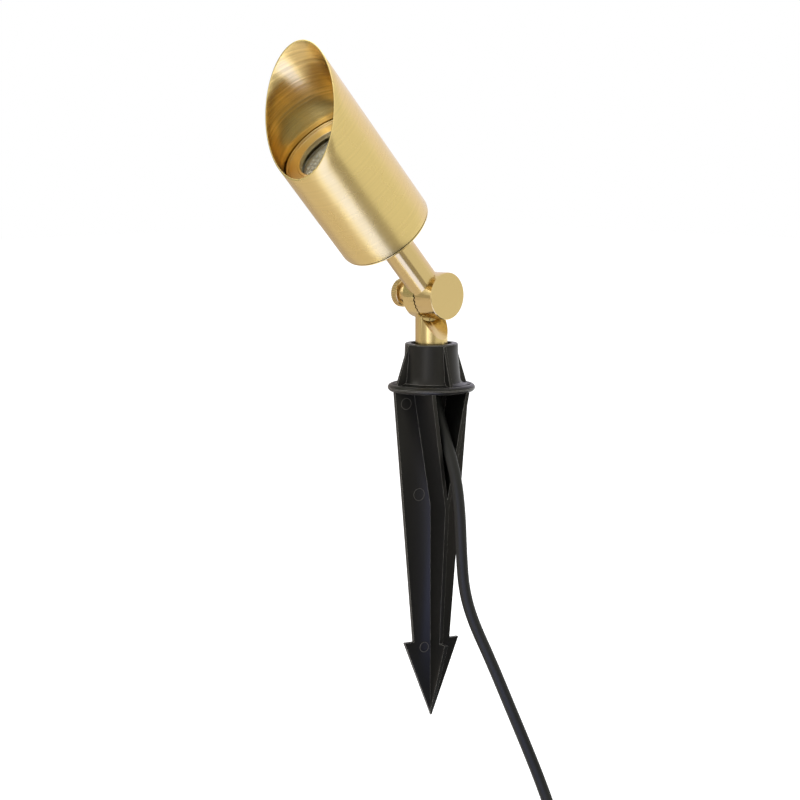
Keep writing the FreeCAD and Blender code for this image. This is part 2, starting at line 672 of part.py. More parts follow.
def holder_bracket():
    strip = Part.makeBox(BRACKET_LENGTH, BRACKET_WIDTH, BRACKET_T,
                         V(-BRACKET_LENGTH / 2, -BRACKET_WIDTH / 2, CAP_FLOOR_END))
    upright = [e for e in strip.Edges if abs(e.BoundBox.ZLength - BRACKET_T) < 0.01 and e.BoundBox.XLength < 0.01]
    strip = strip.makeFillet(3.0, [e for e in upright if e.BoundBox.YLength < 0.01])
    strip = strip.cut(wire_way(1, CAP_START, HOLDER_FOOT + 1, BORE_R + RUNNING_FIT))
    for x in (-BRACKET_SCREW_X, BRACKET_SCREW_X):
        strip = strip.cut(Part.makeCylinder(BRACKET_SCREW_R + SEAT_FIT, BIG, V(x, 0, CAP_START), Z_AXIS))
    return in_head(strip)


def bracket_screws():
    screws = []
    for x in (-BRACKET_SCREW_X, BRACKET_SCREW_X):
        shank = Part.makeCylinder(BRACKET_SCREW_R, HOLDER_FOOT - CAP_START - 1.2, V(x, 0, CAP_START + 1.2), Z_AXIS)
        head = Part.makeCone(BRACKET_SCREW_HEAD_R, BRACKET_SCREW_HEAD_R * 0.7, BRACKET_SCREW_HEAD_T,
                             V(x, 0, HOLDER_FOOT), Z_AXIS)
        screws.append(fused([shank, head]))
    return in_head(Part.makeCompound(screws))


def wire_pair(side, start, end, radius=WIRE_R):
    wires = []
    for y in (-WIRE_SPACING / 2, WIRE_SPACING / 2):
        wires.append(Part.makeCylinder(radius, end - start, V(wire_x(side), y, start), Z_AXIS))
    return Part.makeCompound(wires)


def wire_plug(side, start, end):
    """Rubber plug in a wire bore, with a hole for each wire."""
    plug = wire_way(side, start, end, BORE_R - SEAT_FIT)
    return plug.cut(wire_pair(side, start - 1, end + 1, WIRE_R + WIRE_FIT))


def lamp_leads():
    return in_head(wire_pair(1, SCREW_R + WIRE_END_GAP, HOLDER_FOOT))


def neck_gland():
    return in_head(wire_plug(1, CAP_FLOOR_END - GLAND_LENGTH, CAP_FLOOR_END))


def stem_leads():
    return wire_pair(-1, STEM_FOOT_Z, PIVOT_Z - SCREW_R - WIRE_END_GAP)


def stem_gland():
    flange = bar(STEM_GLAND_R, STEM_FOOT_Z - STEM_GLAND_T, STEM_FOOT_Z, Z_AXIS)
    return fused([flange, wire_plug(-1, STEM_FOOT_Z, STEM_FOOT_Z + GLAND_LENGTH)])


# ---------------------------------------------------------------- lead
def lead_points():
    return [V(*p) for p in LEAD_ROUTE]


def coil_geometry():
    """Centre and starting angle of the coil, from the end of the lead's route and its heading."""
    heading = math.radians(COIL_HEADING)
    way = V(math.cos(heading), math.sin(heading), 0)
    entry = lead_points()[-1] + way * COIL_LEAD_IN
    inward = V(way.y, -way.x, 0)
    centre = entry + inward * COIL_OUTER_R
    return entry, way, centre, math.atan2(-inward.y, -inward.x)


def coil_wire():
    entry, way, centre, start_angle = coil_geometry()
    quarters = int(round(COIL_TURNS * 4))
    edges = [Part.LineSegment(entry - way * LEAD_D, entry).toShape()]
    here = entry
    here_way = way
    for i in range(1, quarters + 1):
        turn = COIL_TURNS * i / quarters
        there = coil_point(centre, start_angle, turn)
        there_way = coil_way(centre, start_angle, turn)
        if i == quarters:
            there_way = V(there_way.x, there_way.y, 0).normalize()
        edges += biarc(here, here_way, there, there_way)
        here = there
        here_way = there_way
    tail = here + here_way * LEAD_D
    edges.append(Part.LineSegment(here, tail).toShape())
    return Part.Wire(edges), tail, here_way


def lead_cable():
    entry, way, centre, start_angle = coil_geometry()
    points = lead_points()
    points[-1] = entry - way * LEAD_D
    return swept(rounded_route(points, "lead_cable"), LEAD_D, "lead_cable")


def core_route(tail, way, side):
    """One bared core, from the lead's end down to the ground."""
    sideways = V(-way.y, way.x, 0) * (side * CORE_SPREAD / 2)
    floor_drop = tail.z - GROUND_Z - FERRULE_R
    start = tail + sideways
    points = [start]
    for along, spread, drop in ((10, 1.0, 0.0), (23, 1.5, 0.5), (35, 2.2, 0.9), (CORE_LENGTH, 2.6, 1.0)):
        points.append(tail + way * along + sideways * spread - V(0, 0, floor_drop * drop))
    return points


def ferrule(end, way):
    collar = Part.makeCone(FERRULE_R, FERRULE_R * 0.75, FERRULE_COLLAR, end, way)
    pin = Part.makeCylinder(FERRULE_PIN_R, FERRULE_LENGTH - FERRULE_COLLAR, end + way * FERRULE_COLLAR, way)
    return fused([collar, pin])


def coil_tie():
    """Flat band round the coil's strands at one place."""
    entry, way, centre, start_angle = coil_geometry()
    turn = TIE_TURN
    strands = []
    while turn < COIL_TURNS:
        strands.append((coil_radius(turn), coil_height(turn)))
        turn += 1
    half = LEAD_D / 2 + TIE_GAP
    inner_r = min(r for r, h in strands) - half
    outer_r = max(r for r, h in strands) + half
    low = -half
    high = max(h for r, h in strands) + half
    inside = Part.makeBox(outer_r - inner_r, TIE_WIDTH + 2, high - low, V(inner_r, -TIE_WIDTH / 2 - 1, low))
    outside = Part.makeBox(outer_r - inner_r + 2 * TIE_T, TIE_WIDTH, high - low + 2 * TIE_T,
                           V(inner_r - TIE_T, -TIE_WIDTH / 2, low - TIE_T))
    outside = outside.makeFillet(TIE_T, [e for e in outside.Edges if e.BoundBox.YLength > TIE_WIDTH - 0.1])
    band = outside.cut(inside)
    band.rotate(ORIGIN, Z_AXIS, math.degrees(start_angle) - 360.0 * TIE_TURN)
    band.translate(centre)
    return band


# ---------------------------------------------------------------- build
def main():
    os.makedirs("parts", exist_ok=True)
    save("stake", stake())
    save("lower_knuckle_arm", lower_knuckle_arm())
    save("upper_knuckle_arm", upper_knuckle_arm())
    save("knuckle_seal_ring", knuckle_seal_ring())
    save("thumbscrew", thumbscrew())
    save("thumbscrew_washer", thumbscrew_washer())
    save("shroud", shroud())
    save("rear_cap", rear_cap())
    save("cap_seal_ring", cap_seal_ring())
    save("lamp_housing", lamp_housing())
    save("housing_seal_rings", housing_seal_rings())
    save("front_glass", front_glass())
    save("glass_gasket", glass_gasket())
    save("bezel_ring", bezel_ring())
    save("lamp_reflector", lamp_reflector())
    save("lamp_lens", lamp_lens())
    save("lamp_base", lamp_base())
    save("lamp_pins", lamp_pins())
    save("lamp_holder", lamp_holder())
    save("holder_bracket", holder_bracket())
    save("bracket_screws", bracket_screws())
    save("lamp_leads", lamp_leads())
    save("neck_gland", neck_gland())
    save("stem_leads", stem_leads())
    save("stem_gland", stem_gland())
    save("lead_cable", lead_cable())
    wire, tail, way = coil_wire()
    coil = swept(wire, LEAD_D, "lead_coil")
    print("lead_coil least gap to itself", round(least_self_gap(wire, LEAD_D, 3 * COIL_OUTER_R), 2))
    save("lead_coil", coil)
    save("coil_tie", coil_tie())
    ferrules = []
    for name, side in (("core_brown", -1), ("core_blue", 1)):
        points = core_route(tail, way, side)
        route = rounded_route(points, name)
        save(name, swept(route, CORE_D, name))
        ferrules.append(ferrule(points[-1], (points[-1] - points[-2]).normalize()))
    save("core_ferrules", Part.makeCompound(ferrules))


main()
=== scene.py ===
# %% [markdown]
# # Garden spike spotlight
# A turned brass lamp head leans forward on a knuckle, and the knuckle's stem is screwed into a black plastic
# ground stake. The frame is the measured model from model.glb, whose bodies move. This file gives every piece
# its looks: finer meshes where the eye rests, and one procedural material for each real finish. Lengths are in
# metres, and the origin is the centre of the stake flange's underside.

# %% Frame
import math
import bmesh
import bpy
from mathutils import Matrix, Vector


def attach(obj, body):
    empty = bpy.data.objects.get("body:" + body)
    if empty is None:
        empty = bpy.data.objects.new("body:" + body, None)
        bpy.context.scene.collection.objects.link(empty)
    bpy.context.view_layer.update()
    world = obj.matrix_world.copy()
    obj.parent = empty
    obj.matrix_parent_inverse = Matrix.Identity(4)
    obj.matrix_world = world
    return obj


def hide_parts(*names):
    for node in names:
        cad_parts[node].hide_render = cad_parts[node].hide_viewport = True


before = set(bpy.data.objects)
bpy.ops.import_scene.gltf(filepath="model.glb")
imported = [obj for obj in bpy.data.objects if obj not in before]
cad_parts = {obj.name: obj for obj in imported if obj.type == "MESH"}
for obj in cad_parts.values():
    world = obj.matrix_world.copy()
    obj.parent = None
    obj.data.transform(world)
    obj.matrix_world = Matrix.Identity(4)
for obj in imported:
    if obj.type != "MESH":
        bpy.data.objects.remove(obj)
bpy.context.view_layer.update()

MM = 0.001
scene = bpy.context.scene
scene.view_settings.view_transform = "Standard"

# %% [markdown]
# ## Camera
# A product photograph is taken from far away with a long lens, so the piece shows little perspective.
# The camera stands 1.3 m off, a little above the knuckle, and looks down 7.6 degrees. Its place comes
# from known points of the object that were measured in the picture.

# %% Camera
LOOKS_DOWN, LOOKS_ROUND = 7.59, 45.4
camera_data = bpy.data.cameras.new("camera")
camera_data.lens = 93.0
camera_data.sensor_width = 36.0
camera_data.clip_start = 0.05
camera = bpy.data.objects.new("camera", camera_data)
camera.location = (0.9016, -0.9167, 0.1652)
camera.rotation_euler = (math.radians(90 - LOOKS_DOWN), 0, math.radians(LOOKS_ROUND))
scene.collection.objects.link(camera)
scene.camera = camera
print("camera lens", camera_data.lens, "mm")

# %% [markdown]
# ## The lead
# The lead is a two-core rubber flex. It leaves the stem, bends out through the stake's channel, hangs
# beside the blade under its own weight and reaches the ground. One smooth spline carries all of it,
# because a real flex has no corners, and the route's points are the spline's control points.

# %% Route of the lead
LEAD_D = 7.2 * MM
TIE_T = 1.0 * MM
TIE_GAP = 0.35 * MM
GROUND_Z = -285.0 * MM
COIL_Z = GROUND_Z + TIE_T + TIE_GAP + LEAD_D / 2
HANGING_MM = [
    (0.0, 0.0, 14.5), (0.0, 0.0, 6.0), (4.8, -1.3, -6.5), (14.9, -4.2, -24.0), (29.6, -8.3, -49.5),
    (33.2, -8.2, -73.0), (33.6, -7.3, -98.0), (34.0, -5.4, -121.0), (37.1, -0.8, -141.0),
    (45.3, 7.5, -167.0), (54.3, 15.9, -197.0), (63.1, 24.1, -226.0), (71.6, 28.4, -249.0),
    (84.7, 24.6, -266.5), (99.6, 12.7, -277.5), (114.0, -3.0, COIL_Z / MM),
]
hanging = [Vector(p) * MM for p in HANGING_MM]
print("lead hangs on", len(hanging), "points")

# %% [markdown]
# ## The coil
# The rest of the flex lies on the ground, wound up and tied as it is sold. It spirals in along a lower
# layer and out again on top of it, so no turn crosses another. Its turns are more control points of
# the same spline, from one rule for the radius and one for the height.

# %% Coil
COIL_HEADING = math.radians(-44.6)
COIL_LEAD_IN = 12.0 * MM
COIL_OUTER_R = 42.5 * MM
COIL_TURN_STEP = 7.9 * MM
COIL_LAYER_RISE = 7.8 * MM
COIL_TURNS = 2.5
POINTS_PER_TURN = 16
SHORT_TURN = 0.004

coil_way = Vector((math.cos(COIL_HEADING), math.sin(COIL_HEADING), 0))
coil_entry = hanging[-1] + coil_way * COIL_LEAD_IN
coil_inward = Vector((coil_way.y, -coil_way.x, 0))
coil_centre = coil_entry + coil_inward * COIL_OUTER_R
coil_start = math.atan2(-coil_inward.y, -coil_inward.x)


def coil_radius(turn):
    """In towards the centre along the lower layer, and out again along the upper one."""
    return COIL_OUTER_R - COIL_TURN_STEP * (COIL_TURNS / 2 - abs(turn - COIL_TURNS / 2))


def coil_height(turn):
    """The climb to the upper layer takes the half turn where the spiral reverses."""
    climbed = min(1.0, max(0.0, (turn - COIL_TURNS / 2) / 0.5 + 0.5))
    return COIL_LAYER_RISE * climbed * climbed * (3 - 2 * climbed)


def coil_point(turn, widen=1.0):
    angle = coil_start - 2 * math.pi * turn
    radius = coil_radius(turn) * widen
    return coil_centre + Vector((radius * math.cos(angle), radius * math.sin(angle), coil_height(turn)))


# A spline of order 3 runs inside its control points, so they stand a little further out.
widen = 2 / (1 + math.cos(math.pi / POINTS_PER_TURN))
coil_points = [coil_entry]
steps = round(COIL_TURNS * POINTS_PER_TURN)
for step in range(1, steps + 1):
    coil_points.append(coil_point(COIL_TURNS * step / steps, widen))
tail_way = coil_point(COIL_TURNS) - coil_point(COIL_TURNS - SHORT_TURN)
tail_way.z = 0
tail_way.normalize()
coil_points[-1] = coil_point(COIL_TURNS)
tail = coil_points[-1] + tail_way * LEAD_D
coil_points.append(tail)
print("coil", len(coil_points), "points")

# %% [markdown]
# ## Flexes
# A NURBS curve with a round bevel gives a tube of exact thickness. Order 3 bends evenly between the
# points, and the end points are kept, so the tube starts at the gland and ends at the cut. At the cut
# the jacket is stripped, and the brown and the blue core spread a little and sink to the ground.

# %% Flex curves
TUBE_STEPS = 6
CORE_D = 2.6 * MM
CORE_SPREAD = 2.9 * MM
CORE_LENGTH = 46.0 * MM
FERRULE_R = 1.75 * MM
# How far along from the cut, how many times the first spread, and what share of the fall.
CORE_ROUTE = ((10 * MM, 1.0, 0.0), (23 * MM, 1.5, 0.5), (35 * MM, 2.2, 0.9), (CORE_LENGTH, 2.6, 1.0))


def flex(name, points, diameter):
    """Round tube on one open NURBS spline that follows its control points."""
    data = bpy.data.curves.new(name, "CURVE")
    data.dimensions = "3D"
    data.bevel_depth = diameter / 2
    data.bevel_resolution = TUBE_STEPS
    data.use_fill_caps = True
    data.resolution_u = data.render_resolution_u = TUBE_STEPS
    spline = data.splines.new("NURBS")
    spline.points.add(len(points) - 1)
    for control, point in zip(spline.points, points):
        control.co = (*point, 1.0)
    spline.order_u = 3
    spline.use_endpoint_u = True
    made = bpy.data.objects.new(name, data)
    scene.collection.objects.link(made)
    return made


lead = flex("lead_flex", hanging + coil_points, LEAD_D)
drop = tail.z - GROUND_Z - FERRULE_R
cores = {}
for name, side in (("core_brown", -1), ("core_blue", 1)):
    sideways = Vector((-tail_way.y, tail_way.x, 0)) * (side * CORE_SPREAD / 2)
    route = [tail + sideways]
    for along, spread, share in CORE_ROUTE:
        route.append(tail + tail_way * along + sideways * spread - Vector((0, 0, drop * share)))
    cores[name] = flex(name + "_flex", route, CORE_D)
print("cores", sorted(cores))

# %% [markdown]
# ## Outlines
# The head's turned parts are drawn upright as outlines of (radius, position) points, in millimetres,
# and one matrix then leans them on the knuckle's pivot. Corners of an outline are rounded first: a real
# edge is never perfectly sharp, and the small radius is what catches the light.

# %% Outlines
PIVOT = Vector((0, 0, 60.0 * MM))
HEAD_TILT = math.radians(44.0)
HEAD_PLACE = Matrix.Translation(PIVOT) @ Matrix.Rotation(HEAD_TILT, 4, "X")
SAME_PLACE = 1e-6
NEARLY_STRAIGHT = math.radians(160)
CORNER_SHARE = 0.4


def rounded(outline, radius, steps=3):
    """Replace the corners of a closed outline by small arcs."""
    made = []
    count = len(outline)
    for i in range(count):
        before, corner, after = (Vector(outline[(i + k) % count]) for k in (-1, 0, 1))
        back, ahead = before - corner, after - corner
        if corner.x < SAME_PLACE or back.angle(ahead) > NEARLY_STRAIGHT:
            made.append(corner)
            continue
        reach = min(radius, CORNER_SHARE * back.length, CORNER_SHARE * ahead.length)
        first, last = corner + back.normalized() * reach, corner + ahead.normalized() * reach
        for k in range(steps + 1):
            t = k / steps
            made.append(first * (1 - t) ** 2 + corner * (2 * t * (1 - t)) + last * t ** 2)
    return [tuple(p) for p in made]


print("head leans", round(math.degrees(HEAD_TILT)), "degrees")

# %% [markdown]
# ## Turning
# Turned parts are bodies of revolution, so one helper spins a closed outline round an axis. It also
# lays out a UV map with U round the part and V along it, which later tells the metal which way the
# lathe's marks run. Doubles are merged and the normals pointed outwards before the mesh is used.

# %% Turning
SHARP_ANGLE = math.radians(35)


def finish_mesh(name, bm):
    """Close, orient and smooth a mesh, and put it in the scene at the origin."""
    bmesh.ops.remove_doubles(bm, verts=bm.verts, dist=SAME_PLACE)
    bmesh.ops.recalc_face_normals(bm, faces=bm.faces)
    data = bpy.data.meshes.new(name)
    bm.to_mesh(data)
    bm.free()
    data.shade_smooth()
    data.set_sharp_from_angle(angle=SHARP_ANGLE)
    made = bpy.data.objects.new(name, data)
    scene.collection.objects.link(made)
    return made


def turned(name, outline, place, segments=160, warp=None):
    """Spin a closed outline of (radius, position) points, in mm, round the Z axis."""
    bm = bmesh.new()
    uv = bm.loops.layers.uv.new("turning")
    count = len(outline)
    rings = []
    for s in range(segments):
        angle = 2 * math.pi * s / segments
        ring = []
        for radius, z in outline:
            point = Vector((radius * math.cos(angle), radius * math.sin(angle), z)) * MM
            ring.append(bm.verts.new(place @ (warp(point) if warp else point)))
        rings.append(ring)
    for s in range(segments):
        a, b = rings[s], rings[(s + 1) % segments]
        for i in range(count):
            j = (i + 1) % count
            first_on_axis, second_on_axis = outline[i][0] < SAME_PLACE, outline[j][0] < SAME_PLACE
            if first_on_axis and second_on_axis:
                continue
            corners = [(a[i], s, i), (b[i], s + 1, i), (b[j], s + 1, i + 1), (a[j], s, i + 1)]
            if first_on_axis:
                corners.pop(1)
            elif second_on_axis:
                corners.pop(2)
            face = bm.faces.new([c[0] for c in corners])
            for loop, (vert, u, v) in zip(face.loops, corners):
                loop[uv].uv = (u / segments, v / count)
    return finish_mesh(name, bm)


print("sharp from", round(math.degrees(SHARP_ANGLE)), "degrees")

# %% [markdown]
# ## Softened copies of the measured solids
# The knuckle arms and the stake are exact solids from model.glb. Their shape is right, but their edges are
# knife sharp. A copy has its triangles merged back into whole faces, and a Bevel modifier then breaks every
# edge by a few tenths of a millimetre, as a file or a mould does. The new narrow faces go to a second material
# slot, which on the stake holds a pale painted highlight along each edge.

# %% Softening
MERGE_DISTANCE = 2e-6
FLAT_ANGLE, EDGE_ANGLE = math.radians(0.6), math.radians(30)
TIP_START, TIP_LENGTH, TIP_DRAWN_IN = -205.5 * MM, 3.8 * MM, 0.6
RELIEF_TOP, RELIEF_LOWEST, RELIEF_SIDE = 43.6 * MM, 28.0 * MM, -0.7 * MM
RELIEF_KEPT = 0.8
PLASTIC_EDGE_MM, BRASS_EDGE_MM = 0.42, 0.25


def softened(node, name, width_mm, adjust=None):
    """Copy a measured solid with its edges broken and, where adjust is given, its points moved."""
    bm = bmesh.new()
    bm.from_mesh(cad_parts[node].data)
    bmesh.ops.remove_doubles(bm, verts=bm.verts, dist=MERGE_DISTANCE)
    if adjust:
        for vert in bm.verts:
            vert.co = adjust(vert.co)
    bmesh.ops.dissolve_limit(bm, angle_limit=FLAT_ANGLE, verts=bm.verts, edges=bm.edges)
    data = bpy.data.meshes.new(name)
    bm.to_mesh(data)
    bm.free()
    data.shade_smooth()
    data.materials.append(None)
    data.materials.append(None)
    made = bpy.data.objects.new(name, data)
    scene.collection.objects.link(made)
    bevel = made.modifiers.new("broken edges", "BEVEL")
    # The bevel's faces take slot 1, which on the stake holds a painted edge highlight.
    bevel.material = 1
    bevel.width = width_mm * MM
    bevel.segments = 2
    bevel.limit_method = "ANGLE"
    bevel.angle_limit = EDGE_ANGLE
    bevel.use_clamp_overlap = True
    bevel.harden_normals = True
    data.set_sharp_from_angle(angle=EDGE_ANGLE)
    evaluated = made.evaluated_get(bpy.context.evaluated_depsgraph_get())
    baked = bpy.data.meshes.new_from_object(evaluated)
    made.modifiers.remove(bevel)
    made.data = baked
    print(name, len(baked.polygons), "faces")
    return made


def sharper_tip(point):
    """Draw the stake's last few millimetres in to a point."""
    share = min(1.0, max(0.0, (TIP_START - point.z) / TIP_LENGTH))
    left = 1 - TIP_DRAWN_IN * share
    return Vector((point.x * left, point.y * left, point.z))


def shallower_relief(point):
    """Let the lower arm's relief run out a little above the collar."""
    if point.x > RELIEF_SIDE and RELIEF_LOWEST < point.z < RELIEF_TOP:
        return Vector((point.x, point.y, RELIEF_TOP - (RELIEF_TOP - point.z) * RELIEF_KEPT))
    return point


stake = softened("stake", "moulded_stake", PLASTIC_EDGE_MM, adjust=sharper_tip)
lower_arm = softened("lower_knuckle_arm", "lower_arm", BRASS_EDGE_MM, adjust=shallower_relief)
upper_arm = softened("upper_knuckle_arm", "upper_arm", BRASS_EDGE_MM)

# %% [markdown]
# ## The shroud
# The shroud is a length of brass tube, 60 mm across with a wall of 0.8 mm, sawn off at a slant so that
# it shades the lamp from the side. It is spun as a straight tube here, and then the points of its far
# end slide along the axis on to the slanting plane, so the wall keeps its thickness all the way up.

# %% Shroud
HEAD_R, SHROUD_BORE = 30.0, 29.2
SHROUD_START, MOUTH_LOW, MOUTH_HIGH = 59.1, 130.3, 185.1
SLANT = (MOUTH_HIGH - MOUTH_LOW) / (2 * HEAD_R)
RIM_ZONE = 1.0
SHROUD_ROWS = 12
SAWN_EDGE = 0.16


def slanted(point):
    """Slide a point of the straight tube's far end on to the slanting mouth."""
    back = (MOUTH_HIGH - MOUTH_LOW) * MM / 2 - SLANT * point.y
    sliding = MOUTH_HIGH - SHROUD_START - 2 * RIM_ZONE
    share = min(1.0, max(0.0, (point.z / MM - SHROUD_START - RIM_ZONE) / sliding))
    return Vector((point.x, point.y, point.z - back * share))


def tube_outline(outer, inner, start, end, soft, rows):
    """Closed outline of a tube with softened ends, and rows of points for a warp to move."""
    corners = rounded([(inner, start), (outer, start), (outer, end), (inner, end)], soft, steps=2)
    made = []
    for a, b in zip(corners, corners[1:] + corners[:1]):
        made.append(a)
        if abs(a[0] - b[0]) < SAME_PLACE and abs(a[1] - b[1]) > RIM_ZONE * 2:
            step = (b[1] - a[1]) / rows
            made += [(a[0], a[1] + step * k) for k in range(1, rows)]
    return made


shroud_outline = tube_outline(HEAD_R, SHROUD_BORE, SHROUD_START, MOUTH_HIGH, SAWN_EDGE, SHROUD_ROWS)
shroud = turned("shroud_sleeve", shroud_outline, HEAD_PLACE, segments=192, warp=slanted)
print("shroud", len(shroud.data.polygons), "faces")

# %% [markdown]
# ## Rear cap and its seal
# The cap is turned from bar. It shows as a thin rim behind the shroud, with a chamfer that flashes
# bright, and a small boss where the neck screws in. The seal ring is the dark line in the seam.

# %% Rear cap
ROD_R, SNUG = 10.15, 0.05
CAP_R, CAP_START, CAP_FLOOR, CAP_CHAMFER = 29.6, 56.9, 60.3, 0.9
BOSS_R, BOSS_START = 10.9, 52.7
SPIGOT_R, SPIGOT_WALL, SPIGOT_END = 27.35, 2, 68.1
SEAM_START, SEAM_DEPTH = 58.4, 0.4
CAP_EDGE = 0.2
cap = turned("rear_cap_turned", rounded([
    (ROD_R + SNUG, BOSS_START), (10.6, BOSS_START), (BOSS_R, 53.0), (BOSS_R, CAP_START),
    (CAP_R - CAP_CHAMFER, CAP_START), (CAP_R, CAP_START + CAP_CHAMFER), (CAP_R, SEAM_START),
    (SPIGOT_R, SEAM_START), (SPIGOT_R, SPIGOT_END), (SPIGOT_R - SPIGOT_WALL, SPIGOT_END),
    (SPIGOT_R - SPIGOT_WALL, CAP_FLOOR), (ROD_R + SNUG, CAP_FLOOR)], CAP_EDGE, steps=2), HEAD_PLACE)
cap_seal = turned("cap_seal_turned", rounded([
    (SPIGOT_R + SNUG, SEAM_START), (CAP_R - SEAM_DEPTH, SEAM_START), (CAP_R - SEAM_DEPTH, SHROUD_START),
    (SPIGOT_R + SNUG, SHROUD_START)], CAP_EDGE, steps=2), HEAD_PLACE)
print("cap", len(cap.data.polygons), "faces")

# %% [markdown]
# ## Flange rim
# The stake's flange ends in a full round. The solid has a plain chamfer there, so one more turned ring
# of the same plastic, a half circle in section, lies over it.

# %% Flange rim
FLANGE_R, FLANGE_T = 27.4, 4.5
RIM_INNER_R, RIM_FOOT = 22.5, 0.02
ROUND_R = FLANGE_T / 2
bullnose = [(FLANGE_R - ROUND_R + ROUND_R * math.cos(a), ROUND_R + ROUND_R * math.sin(a))
            for a in (math.radians(-90 + 15 * k) for k in range(13))]
rim = turned("flange_rim", bullnose + [(RIM_INNER_R, FLANGE_T), (RIM_INNER_R, RIM_FOOT)],
             Matrix.Identity(4), segments=128)
print("flange rim", len(rim.data.polygons), "faces")

# %% [markdown]
# ## Ejector marks
# Pins push the moulded stake out of its tool, and each leaves a faint round witness line. The picture
# shows three down one face of a blade. They are thin raised rings, turned about the face's normal.

# %% Ejector marks
BLADE_WAY = Vector((0.963, -0.269, 0))
PIN_SPOTS_MM = (((-3.8, -18.4, -7.2), 3.5), ((-1.3, -9.5, -65.3), 3.8), ((-0.25, -5.7, -164.1), 3.1))
LINE_FOOT, LINE_TOP, LINE_RISE = 0.15, 0.1, 0.1
facing = BLADE_WAY.to_track_quat("Z", "Y").to_matrix().to_4x4()
lines = bmesh.new()
for spot, radius in PIN_SPOTS_MM:
    section = [(radius - LINE_FOOT, -LINE_RISE), (radius + LINE_FOOT, -LINE_RISE),
               (radius + LINE_TOP, LINE_RISE), (radius - LINE_TOP, LINE_RISE)]
    ring = turned("pin_ring", section, Matrix.Translation(Vector(spot) * MM) @ facing, segments=48)
    lines.from_mesh(ring.data)
    bpy.data.objects.remove(ring)
pin_marks = finish_mesh("ejector_marks", lines)
print("ejector marks", len(pin_marks.data.polygons), "faces")

# %% [markdown]
# ## Bezel and front glass
# The bezel screws on to the housing and presses the glass on its gasket. Its face is dished towards the
# glass and carries a raised lip, which the picture shows as one thin bright line. The glass is a plain
# toughened disc with a ground edge.

# %% Bezel and glass
HOUSING_END = 121.8
BEZEL_IN, BEZEL_OUT, BEZEL_TOP = 19.9, 28.4, 126.8
GLASS_R, GLASS_BACK, GLASS_FRONT = 28.05, 118.0, 121.0
bezel = turned("bezel_turned", rounded([
    (BEZEL_IN, HOUSING_END), (BEZEL_OUT, HOUSING_END), (BEZEL_OUT, 126.5), (28.1, BEZEL_TOP),
    (27.3, BEZEL_TOP), (27.3, 125.2), (26.1, 125.2), (21.8, 124.4), (21.3, 124.9), (BEZEL_IN, 124.9)],
    0.25), HEAD_PLACE)
glass = turned("front_glass_disc", rounded([
    (0, GLASS_BACK), (GLASS_R, GLASS_BACK), (GLASS_R, GLASS_FRONT), (0, GLASS_FRONT)], 0.3), HEAD_PLACE)
print("bezel", len(bezel.data.polygons), "faces, glass", len(glass.data.polygons), "faces")

# %% [markdown]
# ## The lamp
# Behind the glass sits a plug-in lamp, 50 mm across. Its reflector is a smooth parabola, and its front
# lens is slightly crowned.

# %% Lamp
LAMP_NECK, LAMP_FACE, LAMP_R = 77.1, 114.1, 25.0
CUP_NECK_R, CUP_FLARE, CUP_DEPTH, CUP_WALL = 9.0, 15.0, 34.0, 1.6
CUP_STEPS, CROWN_STEPS = 14, 8
LAMP_RIM_HEIGHT, SEAT_R, SEAT_DEPTH = 3.0, 22.9, 2.0
LENS_R, LENS_CROWN = 22.7, 1.2
cup = [(CUP_NECK_R + CUP_FLARE * math.sqrt(k / CUP_STEPS), LAMP_NECK + CUP_DEPTH * k / CUP_STEPS)
       for k in range(CUP_STEPS + 1)]
inner_cup = [(r - CUP_WALL, q + CUP_WALL) for r, q in cup]
lamp_rim_outline = [
    (LAMP_R, LAMP_FACE - LAMP_RIM_HEIGHT), (LAMP_R, LAMP_FACE - 0.2), (LAMP_R - 0.2, LAMP_FACE),
    (SEAT_R, LAMP_FACE), (SEAT_R, LAMP_FACE - SEAT_DEPTH), (inner_cup[-1][0] - 1.5, LAMP_FACE - SEAT_DEPTH)]
reflector = turned("lamp_reflector_cup", [(0, LAMP_NECK)] + cup + lamp_rim_outline + inner_cup[-2::-1]
                   + [(0, LAMP_NECK + CUP_WALL)], HEAD_PLACE, segments=96)
crown = [(LENS_R * k / CROWN_STEPS, LAMP_FACE + LENS_CROWN * (1 - (k / CROWN_STEPS) ** 2))
         for k in range(CROWN_STEPS, -1, -1)]
lens_back = [(0, LAMP_FACE - SEAT_DEPTH), (LENS_R, LAMP_FACE - SEAT_DEPTH)]
lens = turned("lamp_lens_disc", lens_back + crown, HEAD_PLACE, segments=96)
print("reflector", len(reflector.data.polygons), "faces, lens", len(lens.data.polygons), "faces")

# %% [markdown]
# ## Thumbscrew
# The screw that clamps the knuckle has a round head with a straight knurl, so that fingers grip it,
# a plain collar and a threaded shank. The plain shape is turned, and the knurl's ridges repeat round it.

# %% Thumbscrew body
SCREW_PLACE = Matrix.Translation(PIVOT) @ Matrix.Rotation(math.radians(90), 4, "Y")
HEAD_OUT, HEAD_IN, COLLAR_FOOT, SCREW_TIP = -27.7, -22.7, -12.0, 9.0
GRIP_R, GRIP_EDGE, DISH_R, COLLAR_R = 8.5, 0.5, 5.0, 6.0
SHANK_R, THREAD_ROOT_R, THREAD_END_R, THREAD_TURNS = 3.0, 2.75, 2.5, 19
thread = []
for k in range(THREAD_TURNS):
    thread += [(SHANK_R, SCREW_TIP - 1.0 - k), (THREAD_ROOT_R, SCREW_TIP - 1.5 - k)]
screw_head = rounded([
    (0, HEAD_OUT + 0.35), (DISH_R, HEAD_OUT + 0.35), (5.4, HEAD_OUT), (GRIP_R - GRIP_EDGE, HEAD_OUT),
    (GRIP_R, HEAD_OUT + GRIP_EDGE), (GRIP_R, HEAD_IN - GRIP_EDGE), (GRIP_R - GRIP_EDGE, HEAD_IN),
    (COLLAR_R, HEAD_IN), (COLLAR_R, COLLAR_FOOT), (SHANK_R, COLLAR_FOOT)], 0.15, steps=2)
